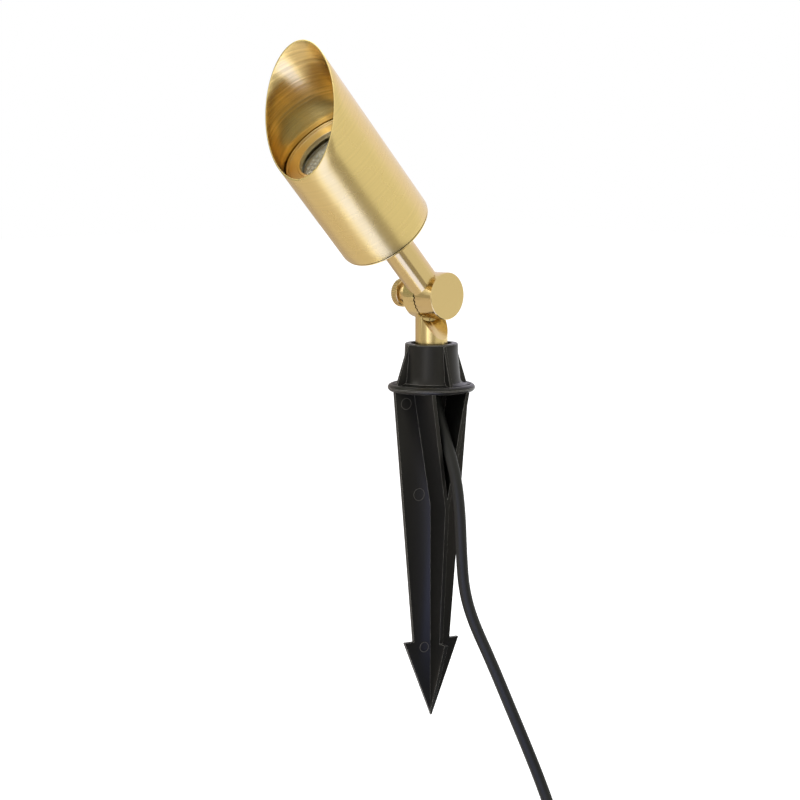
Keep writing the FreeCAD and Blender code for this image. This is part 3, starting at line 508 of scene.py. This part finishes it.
screw = turned("thumbscrew_turned", screw_head + thread[::-1] + [(THREAD_END_R, SCREW_TIP), (0, SCREW_TIP)],
               SCREW_PLACE, segments=96)
print("thumbscrew", len(screw.data.polygons), "faces")

# %% [markdown]
# ## Repeats by rule
# Knurl ridges stand at even angles round the grip, and the lens domes stand in rows. Both are one small
# shape at each of many points, so Geometry Nodes make them from a few named inputs. One small function
# adds a node with its settings and links, for these trees and the materials alike.

# %% Node helpers


def add(tree, kind, inputs=None, **settings):
    """Add a node, set its properties, and set or link its inputs by name or number."""
    node = tree.nodes.new(kind)
    for name, value in settings.items():
        setattr(node, name, value)
    for key, value in (inputs or {}).items():
        if isinstance(value, bpy.types.NodeSocket):
            tree.links.new(value, node.inputs[key])
        else:
            node.inputs[key].default_value = value
    return node


def rule(name, sockets):
    """New geometry node tree with named inputs, a material and one geometry output."""
    tree = bpy.data.node_groups.new(name, "GeometryNodeTree")
    tree.interface.new_socket("Geometry", in_out="OUTPUT", socket_type="NodeSocketGeometry")
    for label, kind in sockets.items():
        tree.interface.new_socket(label, in_out="INPUT", socket_type=kind)
    tree.interface.new_socket("Material", in_out="INPUT", socket_type="NodeSocketMaterial")
    return tree, tree.nodes.new("NodeGroupInput").outputs


def grow(name, tree, instances, values, place):
    """End a tree with real geometry and its material, keep what it makes as a mesh in its place."""
    given = tree.nodes["Group Input"].outputs
    real = add(tree, "GeometryNodeRealizeInstances", {"Geometry": instances})
    coated = add(tree, "GeometryNodeSetMaterial", {"Geometry": real.outputs[0], "Material": given["Material"]})
    tree.links.new(coated.outputs[0], tree.nodes.new("NodeGroupOutput").inputs[0])
    made = bpy.data.objects.new(name, bpy.data.meshes.new(name))
    scene.collection.objects.link(made)
    run = made.modifiers.new("rule", "NODES")
    run.node_group = tree
    for item in tree.interface.items_tree:
        if item.in_out == "INPUT":
            run[item.identifier] = values[item.name]
    kept = bpy.data.meshes.new_from_object(made.evaluated_get(bpy.context.evaluated_depsgraph_get()))
    made.modifiers.remove(run)
    kept.transform(place)
    kept.shade_smooth()
    kept.set_sharp_from_angle(angle=SHARP_ANGLE)
    made.data = kept
    print(name, len(kept.polygons), "faces")
    return made


print("node helpers ready")

# %% [markdown]
# ## Colours and the common surface
# Colours are written as the hex values that an eye would pick, and one function turns them into the
# linear values that the renderer works in. Each material below starts from the same plain surface and
# adds only what its real finish needs.

# %% Surface helper


def linear(hex_colour):
    values = [int(hex_colour[i:i + 2], 16) / 255 for i in (0, 2, 4)]
    return [v / 12.92 if v <= 0.04045 else ((v + 0.055) / 1.055) ** 2.4 for v in values] + [1.0]


def surface(name, colour, roughness, settings=None):
    """A material with one Principled shader; settings go on the shader's own sockets."""
    made = bpy.data.materials.new(name)
    made.use_nodes = True
    shader = made.node_tree.nodes["Principled BSDF"]
    shader.inputs["Base Color"].default_value = linear(colour)
    shader.inputs["Roughness"].default_value = roughness
    for socket, value in (settings or {}).items():
        shader.inputs[socket].default_value = value
    return made, made.node_tree, shader


print("middle grey is", round(linear("808080")[0], 3), "in linear light")

# %% [markdown]
# ## Turned brass
# The head, neck and screw are solid brass straight from the lathe: a pale yellow metal, with fine marks
# that run round the axis on the barrel and in circles on flat ends. Distance along the axis plus
# distance from it grows steadily over both, so one line of noise along that sum draws every mark.
# The marks are about 1.4 mm apart, coarser than real ones, which no picture of this size could show.
# Handling also leaves duller patches a couple of centimetres across, drawn by a second, cloudy noise.
# The shroud's bore is rougher than its outside, because the tool that cuts it is long and springs. Its marks
# are drawn deeper and 2.2 mm apart, and painted shade on the marks, for the light their groove flanks would
# throw back, shows as arcs. The barrel gets a fainter painted shade of the same kind.

# %% Brass
MARK_PITCH, BORE_PITCH = 1.4 * MM, 2.2 * MM
MARK_DEPTH, BORE_DEPTH = 0.012 * MM, 0.045 * MM
CLOUDS_PER_METRE = 60.0
# The parts of a noise's range, from 0 to 1, that its values mostly keep to.
FINE_LOW, FINE_HIGH, CLOUD_LOW, CLOUD_HIGH = 0.35, 0.65, 0.3, 0.7
HEAD_TURN = (-HEAD_TILT, 0, 0)
HEAD_SHIFT = tuple(-(Matrix.Rotation(-HEAD_TILT, 3, "X") @ PIVOT))


def brass(name, colour, roughness, turn=HEAD_TURN, shift=HEAD_SHIFT, depth=MARK_DEPTH, pitch=MARK_PITCH,
          brushed=0.0, uneven=0.12, groove_shade=0.0):
    """Brass with lathe marks round the axis that turn and shift bring on to Z."""
    made, tree, shader = surface(name, colour, roughness, {"Metallic": 1.0})
    place = add(tree, "ShaderNodeTexCoord").outputs["Object"]
    lathe = add(tree, "ShaderNodeMapping", {"Vector": place, "Rotation": turn, "Location": shift}).outputs[0]
    parts = add(tree, "ShaderNodeSeparateXYZ", {"Vector": lathe})
    flat = add(tree, "ShaderNodeVectorMath", {0: lathe, 1: (1, 1, 0)}, operation="MULTIPLY")
    reach = add(tree, "ShaderNodeVectorMath", {0: flat.outputs[0]}, operation="LENGTH").outputs["Value"]
    travel = add(tree, "ShaderNodeMath", {0: parts.outputs["Z"], 1: reach}, operation="ADD")
    marks = add(tree, "ShaderNodeTexNoise", {"W": travel.outputs[0], "Scale": 1 / pitch, "Detail": 1.0},
                noise_dimensions="1D").outputs[0]
    bump = add(tree, "ShaderNodeBump", {"Height": marks, "Strength": 1.0, "Distance": depth})
    tree.links.new(bump.outputs[0], shader.inputs["Normal"])
    # Painted shade: the marks darken the base colour in bands, standing in for the light each groove flank
    # throws back.
    if groove_shade:
        share = add(tree, "ShaderNodeMapRange", {"Value": marks, "From Min": FINE_LOW, "From Max": FINE_HIGH})
        light = linear(colour)
        dark = [c * (1 - groove_shade) for c in light[:3]] + [1.0]
        tint = add(tree, "ShaderNodeMix", {0: share.outputs[0], 6: dark, 7: light}, data_type="RGBA")
        tree.links.new(tint.outputs[2], shader.inputs["Base Color"])
    if uneven:
        clouds = add(tree, "ShaderNodeTexNoise", {"Vector": lathe, "Scale": CLOUDS_PER_METRE, "Detail": 2.0})
        rough = add(tree, "ShaderNodeMapRange", {
            "Value": clouds.outputs[0], "From Min": CLOUD_LOW, "From Max": CLOUD_HIGH,
            "To Min": roughness * (1 - uneven), "To Max": roughness * (1 + uneven)})
        tree.links.new(rough.outputs[0], shader.inputs["Roughness"])
    if brushed:
        shader.inputs["Anisotropic"].default_value = brushed
        round_way = add(tree, "ShaderNodeTangent", direction_type="UV_MAP", uv_map="turning")
        tree.links.new(round_way.outputs[0], shader.inputs["Tangent"])
    return made


# The barrel's brushing stretches each highlight across the marks into a long soft band, and a faint painted
# shade lies on the marks.
brass_head = brass("turned_brass", "E0C785", 0.27, brushed=0.4, groove_shade=0.05)
# Bored, not polished: arcs drawn by painted shade on the marks, and dark where the metal mirrors itself.
brass_bore = brass("bored_brass", "E9CE8C", 0.24, depth=BORE_DEPTH, pitch=BORE_PITCH, brushed=0.3,
                   uneven=0.0, groove_shade=0.18)
# Drawn rod, a little smoother and darker than the head; the stem's marks run round the upright axis.
brass_neck = brass("neck_brass", "D2B980", 0.20)
brass_stem = brass("stem_brass", "D6BE82", 0.26, turn=(0, 0, 0), shift=(0, 0, 0))
# The screw's axis lies level, through the pivot.
brass_screw = brass("screw_brass", "CFB47C", 0.32, turn=(0, -math.radians(90), 0), shift=(PIVOT.z, 0, 0))
# Inside pieces are left as they come from the tool, and are duller.
brass_inner = brass("inner_brass", "DECBA0", 0.32)
print("brass materials made")

# %% [markdown]
# ## Black plastic and rubber
# The stake is injection-moulded polypropylene, coloured through with carbon black. It has a faint grain from
# the tool and a low sheen, slightly warm. Its edges and the ejector rings are painted pale: painted highlights
# where light would catch them. The flex has a rubber jacket that is greyer and nearly matt.

# %% Plastic and rubber


def grained(name, colour, roughness, sheen, grain_mm, depth_mm, tint="FFFFFF"):
    """Matt or satin surface with a fine even grain."""
    made, tree, shader = surface(name, colour, roughness,
                                 {"Specular IOR Level": sheen, "Specular Tint": linear(tint)})
    place = add(tree, "ShaderNodeTexCoord").outputs["Object"]
    grain = add(tree, "ShaderNodeTexNoise", {"Vector": place, "Scale": 1 / (grain_mm * MM), "Detail": 2.0})
    bump = add(tree, "ShaderNodeBump", {"Height": grain.outputs[0], "Strength": 1.0, "Distance": depth_mm * MM})
    tree.links.new(bump.outputs[0], shader.inputs["Normal"])
    return made


WARM = "FFF8EC"
plastic = grained("black_polypropylene", "171715", 0.34, 0.28, 1.2, 0.015, WARM)
# Painted highlight: a pale colour on the bevelled edges, where light would catch them.
edge_highlight_paint = grained("edge_highlight_polypropylene", "B0AEA6", 0.45, 0.40, 1.2, 0.01, WARM)
# Painted highlight: the ejector rings are painted pale, where light would catch their edges.
ring_highlight_paint = grained("ring_highlight_polypropylene", "66645E", 0.45, 0.30, 1.2, 0.01, WARM)
jacket = grained("rubber_jacket", "1E1F1D", 0.50, 0.26, 0.8, 0.02, WARM)
print("stake and jacket materials made")

# %% [markdown]
# ## Small plastics, rubbers and ceramic
# The seals are moulded black rubber, and the glass sits on grey silicone. The lamp's holder and base are
# unglazed ceramic, pale and dry. Wires have smooth coloured insulation or white sleeving, and the tie is
# black nylon. All have a fine grain of under a millimetre or so, and differ in colour and sheen.

# %% Small parts' materials
seal = grained("black_seal_rubber", "151515", 0.6, 0.3, 0.8, 0.01)
silicone = grained("grey_silicone", "BDBDB8", 0.5, 0.4, 0.8, 0.01)
ceramic = grained("unglazed_ceramic", "E4E0D6", 0.6, 0.4, 0.5, 0.01)
sleeving = grained("white_sleeving", "E0DED8", 0.55, 0.4, 0.5, 0.01)
brown = grained("brown_core", "5A3420", 0.35, 0.5, 0.8, 0.004)
blue = grained("blue_core", "2A5C96", 0.35, 0.5, 0.8, 0.004)
tie_plastic = grained("black_nylon", "1B1B1B", 0.42, 0.4, 1.0, 0.006)
print("small parts' materials made")

# %% [markdown]
# ## Glass and bright metal
# The front glass is clear toughened soda glass. Light has to pass it to reach the lamp, so shadow rays
# meet a transparent surface. The lamp's lens is pressed glass, slightly clouded. Its reflector is a
# bright aluminium film, its pins, bracket and screws are zinc-plated steel, and the ferrules tinned
# copper.

# %% Glass and metal


def clear(name, colour, roughness):
    """Clear glass that throws no shadow."""
    made, tree, shader = surface(name, colour, roughness, {"Transmission Weight": 1.0, "IOR": 1.5})
    ray = add(tree, "ShaderNodeLightPath").outputs
    through = add(tree, "ShaderNodeBsdfTransparent", {"Color": linear(colour)})
    free = add(tree, "ShaderNodeMath", {0: ray["Is Shadow Ray"], 1: ray["Is Diffuse Ray"]}, operation="MAXIMUM")
    mix = add(tree, "ShaderNodeMixShader", {0: free.outputs[0], 1: shader.outputs[0], 2: through.outputs[0]})
    tree.links.new(mix.outputs[0], tree.nodes["Material Output"].inputs["Surface"])
    return made


clear_glass = clear("toughened_glass", "F4F8F6", 0.02)
lens_glass = surface("lamp_lens_glass", "E0DBD6", 0.16, {"Transmission Weight": 0.45, "IOR": 1.5})[0]
film = surface("aluminium_film", "E4E4E2", 0.12, {"Metallic": 1.0})[0]
lamp_rim = surface("pressed_lamp_glass", "DAD8D6", 0.25)[0]
zinc = surface("zinc_plate", "C9CBCD", 0.32, {"Metallic": 1.0})[0]
tin = surface("tinned_copper", "CFCFCF", 0.28, {"Metallic": 1.0})[0]
print("materials", len(bpy.data.materials))

# %% [markdown]
# ## Knurl
# A knurling wheel rolls straight ridges into the screw's head. Each ridge is a small six-sided bar along
# the grip, which stands out of the turned head by a little under half its width.

# %% Knurl
INT, FLOAT = "NodeSocketInt", "NodeSocketFloat"
RIDGE_COUNT, RIDGE_WIDTH, RIDGE_SINK = 40, 1.1, 0.1
tree, given = rule("knurl", {"Count": INT, "Radius": FLOAT, "Width": FLOAT, "Length": FLOAT})
stations = add(tree, "GeometryNodeMeshCircle", {"Vertices": given["Count"], "Radius": given["Radius"]})
half = add(tree, "ShaderNodeMath", {0: given["Width"], 1: 0.5}, operation="MULTIPLY")
bar = add(tree, "GeometryNodeMeshCylinder", {
    "Vertices": 6, "Radius": half.outputs[0], "Depth": given["Length"]})
where = add(tree, "GeometryNodeInputPosition")
outward = add(tree, "FunctionNodeAlignRotationToVector", {"Vector": where.outputs[0]},
              axis="X", pivot_axis="Z")
ridges = add(tree, "GeometryNodeInstanceOnPoints", {
    "Points": stations.outputs[0], "Instance": bar.outputs["Mesh"], "Rotation": outward.outputs[0]})
knurl = grow("thumbscrew_knurl", tree, ridges.outputs[0], {
    "Count": RIDGE_COUNT, "Radius": (GRIP_R - RIDGE_SINK) * MM, "Width": RIDGE_WIDTH * MM,
    "Length": (HEAD_IN - HEAD_OUT - 2 * GRIP_EDGE) * MM, "Material": brass_screw},
    SCREW_PLACE @ Matrix.Translation((0, 0, (HEAD_OUT + HEAD_IN) / 2 * MM)))

# %% [markdown]
# ## Lens domes
# The lamp's lens is pressed with small domes that spread the light. Each is a flattened ball at one
# point of a square grid, and the points outside the lens are deleted first.

# %% Lens domes
GRID_SIZE, DOME_PITCH, DOME_RINGS = 48 * MM, 2.8 * MM, 7
DOME_R, DOME_FLATTENED, DOME_LIFT = 1.5 * MM, 0.35, 0.9
tree, given = rule("domes", {"Rings": INT, "Pitch": FLOAT})
grid = add(tree, "GeometryNodeMeshGrid", {"Size X": GRID_SIZE, "Size Y": GRID_SIZE})
across = add(tree, "ShaderNodeMath", {0: GRID_SIZE, 1: given["Pitch"]}, operation="DIVIDE")
for direction in ("Vertices X", "Vertices Y"):
    tree.links.new(across.outputs[0], grid.inputs[direction])
where = add(tree, "GeometryNodeInputPosition")
reach = add(tree, "ShaderNodeVectorMath", {0: where.outputs[0]}, operation="LENGTH").outputs["Value"]
span = add(tree, "ShaderNodeMath", {0: given["Rings"], 1: given["Pitch"]}, operation="MULTIPLY")
outside = add(tree, "FunctionNodeCompare", {0: reach, 1: span.outputs[0]}, operation="GREATER_THAN")
inside = add(tree, "GeometryNodeDeleteGeometry", {0: grid.outputs["Mesh"], 1: outside.outputs[0]})
ball = add(tree, "GeometryNodeMeshUVSphere", {"Segments": 8, "Rings": 4, "Radius": DOME_R})
dome = add(tree, "GeometryNodeTransform", {"Geometry": ball.outputs["Mesh"], "Scale": (1, 1, DOME_FLATTENED)})
spread = add(tree, "GeometryNodeInstanceOnPoints", {"Points": inside.outputs[0], "Instance": dome.outputs[0]})
domes = grow("lamp_lens_domes", tree, spread.outputs[0], {
    "Rings": DOME_RINGS, "Pitch": DOME_PITCH, "Material": lens_glass},
    HEAD_PLACE @ Matrix.Translation((0, 0, (LAMP_FACE + DOME_LIFT) * MM)))

# %% [markdown]
# ## Dressing the head
# Every piece gets its material and rides on the body that moves it, and the measured solids that it stands for
# are hidden. The shroud has a second finish in its bore, and the lamp's rim is bare glass.

# %% Dress the head
to_head = HEAD_PLACE.inverted()


def dress(piece, material, body, slot, *nodes, edge=None):
    if not piece.data.materials:
        piece.data.materials.append(material)
    piece.data.materials[0] = material
    if len(piece.data.materials) > 1:
        piece.data.materials[1] = edge or material
    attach(piece, body)
    if nodes:
        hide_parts(*nodes)


def second_coat(piece, material, chosen):
    """Coat the faces whose distance from the head's axis and place along it are chosen."""
    piece.data.materials.append(material)
    for face in piece.data.polygons:
        spot = to_head @ face.center
        if chosen(math.hypot(spot.x, spot.y) / MM, spot.z / MM):
            face.material_index = 1


dress(shroud, brass_head, "glare_shroud", "brass", "shroud")
second_coat(shroud, brass_bore, lambda radius, along: radius < SHROUD_BORE + 0.1)
dress(cap, brass_head, "lamp_head", "brass", "rear_cap")
dress(cap_seal, seal, "lamp_head", "seal_rubber", "cap_seal_ring")
dress(bezel, brass_inner, "lamp_head", "brass_inner", "bezel_ring")
dress(glass, clear_glass, "lamp_head", "clear_glass", "front_glass")
dress(reflector, film, "lamp_head", "reflector_film", "lamp_reflector")
second_coat(reflector, lamp_rim,
            lambda radius, along: radius > SEAT_R and along > LAMP_FACE - LAMP_RIM_HEIGHT - 0.1)
dress(lens, lens_glass, "lamp_head", "lamp_glass", "lamp_lens")
dress(domes, lens_glass, "lamp_head", "lamp_glass")
print("head dressed")

# %% [markdown]
# ## Dressing the rest
# The thumbscrew turns by itself, the lower arm is the turning stem, the upper arm leans with the head,
# and stake, rim, marks and lead stay in the ground. The solids that keep their own shape only get a
# material.

# %% Dress the rest
dress(screw, brass_screw, "clamp_screw", "brass", "thumbscrew")
dress(knurl, brass_screw, "clamp_screw", "brass")
# The stake's bevelled edges carry a painted highlight.
dress(stake, plastic, "ground_stake", "black_plastic", "stake", edge=edge_highlight_paint)
dress(rim, plastic, "ground_stake", "black_plastic")
# The ejector rings carry a painted highlight.
dress(pin_marks, ring_highlight_paint, "ground_stake", "black_plastic")
dress(lower_arm, brass_stem, "stem", "brass", "lower_knuckle_arm")
dress(upper_arm, brass_neck, "lamp_head", "brass", "upper_knuckle_arm")
dress(lead, jacket, "ground_stake", "black_rubber", "lead_cable", "lead_coil")
dress(cores["core_brown"], brown, "ground_stake", "brown_insulation", "core_brown")
dress(cores["core_blue"], blue, "ground_stake", "blue_insulation", "core_blue")
KEPT = {
    "knuckle_seal_ring": seal, "thumbscrew_washer": brass_stem, "lamp_housing": brass_inner,
    "housing_seal_rings": seal, "glass_gasket": silicone, "lamp_base": ceramic, "lamp_pins": zinc,
    "lamp_holder": ceramic, "holder_bracket": zinc, "bracket_screws": zinc, "lamp_leads": sleeving,
    "neck_gland": seal, "stem_leads": sleeving, "stem_gland": seal, "coil_tie": tie_plastic,
    "core_ferrules": tin,
}
for node, material in KEPT.items():
    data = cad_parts[node].data
    data.materials.clear()
    data.materials.append(material)
print("kept solids", len(KEPT))

# %% [markdown]
# ## White room and floor
# Polished brass shows its surroundings more than its own colour, so a studio builds the surroundings.
# The room and the floor are plain white to the camera, to metal and to glass, and a little darker as
# sources of light, so the floor still takes the object's shadow.

# %% Room and floor
ROOM_LIGHT, FLOOR_GLOW = 0.7, 0.6
FLOOR_HALF, FLOOR_DROP = 6, 0.6 * MM


def looked_at(tree):
    """One where a ray comes from the camera, from metal or through glass, and zero elsewhere."""
    ray = add(tree, "ShaderNodeLightPath").outputs
    seen = add(tree, "ShaderNodeMath", {0: ray["Is Camera Ray"], 1: ray["Is Glossy Ray"]}, operation="MAXIMUM")
    return add(tree, "ShaderNodeMath", {0: seen.outputs[0], 1: ray["Is Transmission Ray"]},
               operation="MAXIMUM").outputs[0]


world = bpy.data.worlds.new("white_room")
scene.world = world
world.use_nodes = True
room = world.node_tree
room.nodes.clear()
level = add(room, "ShaderNodeMapRange", {"Value": looked_at(room), "To Min": ROOM_LIGHT, "To Max": 1.0})
sky = add(room, "ShaderNodeBackground", {"Color": linear("FFFFFF"), "Strength": level.outputs[0]})
add(room, "ShaderNodeOutputWorld", {"Surface": sky.outputs[0]})

floor_data = bpy.data.meshes.new("floor")
floor_data.from_pydata([(x * FLOOR_HALF, y * FLOOR_HALF, 0) for x, y in ((-1, -1), (1, -1), (1, 1), (-1, 1))],
                       [], [(0, 1, 2, 3)])
floor = bpy.data.objects.new("floor", floor_data)
floor.location.z = GROUND_Z - FLOOR_DROP
scene.collection.objects.link(floor)
floor_paint, tree, shader = surface("white_floor", "F4F4F4", 0.9, {
    "Specular IOR Level": 0.0, "Emission Color": linear("FFFFFF")})
glow = add(tree, "ShaderNodeMath", {0: looked_at(tree), 1: FLOOR_GLOW}, operation="MULTIPLY")
tree.links.new(glow.outputs[0], shader.inputs["Emission Strength"])
floor_data.materials.append(floor_paint)
print("floor", round(floor.location.z, 4), "m")

# %% [markdown]
# ## Lamps
# Two plain soft lamps light the scene: one overhead, and one in front and above that opens the shadows
# under the head. Metal doesn't mirror them, because the boards below draw its highlights.

# %% Lamps


def lamp(name, place, aim, size, power):
    """Square soft light that points at aim and isn't mirrored."""
    data = bpy.data.lights.new(name, "AREA")
    data.size = size
    data.energy = power
    made = bpy.data.objects.new(name, data)
    made.location = place
    made.rotation_euler = (Vector(aim) - Vector(place)).to_track_quat("-Z", "Y").to_euler()
    made.visible_glossy = False
    scene.collection.objects.link(made)
    print(name, power, "W")


lamp("overhead_softbox", (-0.3, 0.25, 1.5), (0, 0, -0.05), 0.9, 7.0)
lamp("front_softbox", (0.1, -1.05, 1.15), (0, -0.08, 0.15), 0.5, 9.0)

# %% [markdown]
# ## Boards round the object
# The barrel mirrors a ring of directions round its own axis. A board's place is given as an angle in
# that ring, so its edge draws a straight line along the barrel. Other boards stand upright: dark ones
# keep the black plastic black, and bright ones beside the camera draw the thin lines on its edges. All
# of them show only in reflections.

# %% Boards
AXIS = HEAD_PLACE.to_3x3() @ Vector((0, 0, 1))
SIDE, BACK = Vector((1, 0, 0)), HEAD_PLACE.to_3x3() @ Vector((0, 1, 0))
BARREL = PIVOT + AXIS * 0.11
LEAN = (camera.location - BARREL).normalized().dot(AXIS)
BOARD_DISTANCE, BOARD_LENGTH = 0.33, 0.34
made_boards = []


def board(name, corners, colour, strength):
    """Glowing board that shows only in reflections."""
    data = bpy.data.meshes.new(name)
    data.from_pydata([tuple(c) for c in corners], [], [(0, 1, 2, 3)])
    made = bpy.data.objects.new(name, data)
    scene.collection.objects.link(made)
    paint = bpy.data.materials.new(name + "_paint")
    paint.use_nodes = True
    paint.node_tree.nodes.clear()
    glow = add(paint.node_tree, "ShaderNodeEmission", {"Color": linear(colour), "Strength": strength})
    add(paint.node_tree, "ShaderNodeOutputMaterial", {"Surface": glow.outputs[0]})
    data.materials.append(paint)
    made.visible_camera = made.visible_diffuse = made.visible_shadow = made.visible_transmission = False
    made_boards.append(name)


def barrel_board(name, start, end, colour, strength):
    """Board that the barrel mirrors between two angles of its ring."""
    corners = []
    for degrees, tall in ((start, -1), (end, -1), (end, 1), (start, 1)):
        angle = math.radians(degrees)
        way = (SIDE * math.cos(angle) + BACK * math.sin(angle)) * math.sqrt(1 - LEAN ** 2) - AXIS * LEAN
        corners.append(BARREL + way * BOARD_DISTANCE + AXIS * (tall * BOARD_LENGTH / 2))
    board(name, corners, colour, strength)


def upright_board(name, start, end, low, high, distance, colour, strength):
    """Upright board between two compass angles round the stake."""
    feet = [(distance * math.cos(math.radians(a)), distance * math.sin(math.radians(a))) for a in (start, end)]
    board(name, [(*feet[0], low), (*feet[1], low), (*feet[1], high), (*feet[0], high)], colour, strength)


barrel_board("edge_board", -215, -150, "FFF0E8", 0.62)
barrel_board("left_board", -150, -89, "FFF4EC", 0.82)
barrel_board("bright_board", -80, -53, "B8C3FF", 2.9)
barrel_board("dark_board", -48, -22, "FFF8EC", 0.44)
barrel_board("right_board", -22, 48, "FFFFF8", 0.94)
barrel_board("far_board", 62, 140, "F4F0FF", 1.16)
upright_board("right_dark_board", -12, 36, -0.28, -0.03, 0.70, "FFFFFF", 0.15)
upright_board("left_dark_board", -216, -130, -0.28, 0.25, 0.55, "FFF4E0", 0.40)
upright_board("left_strip", -76, -64, -0.28, 0.45, 1.00, "FFFFFF", 2.6)
upright_board("collar_board", -130, -82, -0.075, 0.10, 0.50, "FFF8EC", 0.5)
board("knuckle_board", [(-0.2, -0.30, 0.03), (-0.2, 0.02, 0.10), (-0.2, 0.02, 0.30), (-0.2, -0.30, 0.30)],
      "EEF4DC", 0.42)
board("floor_mat", [(0.05, -0.15, -0.284), (0.75, -0.15, -0.284), (0.75, 0.5, -0.284), (0.05, 0.5, -0.284)],
      "FFFFFF", 0.15)
board("front_board", [(-0.75, -0.45, 0.35), (-0.25, -0.95, 0.35), (-0.15, -0.75, 0.95), (-0.65, -0.25, 0.95)],
      "FFFFFF", 3.0)
print("boards", len(made_boards))
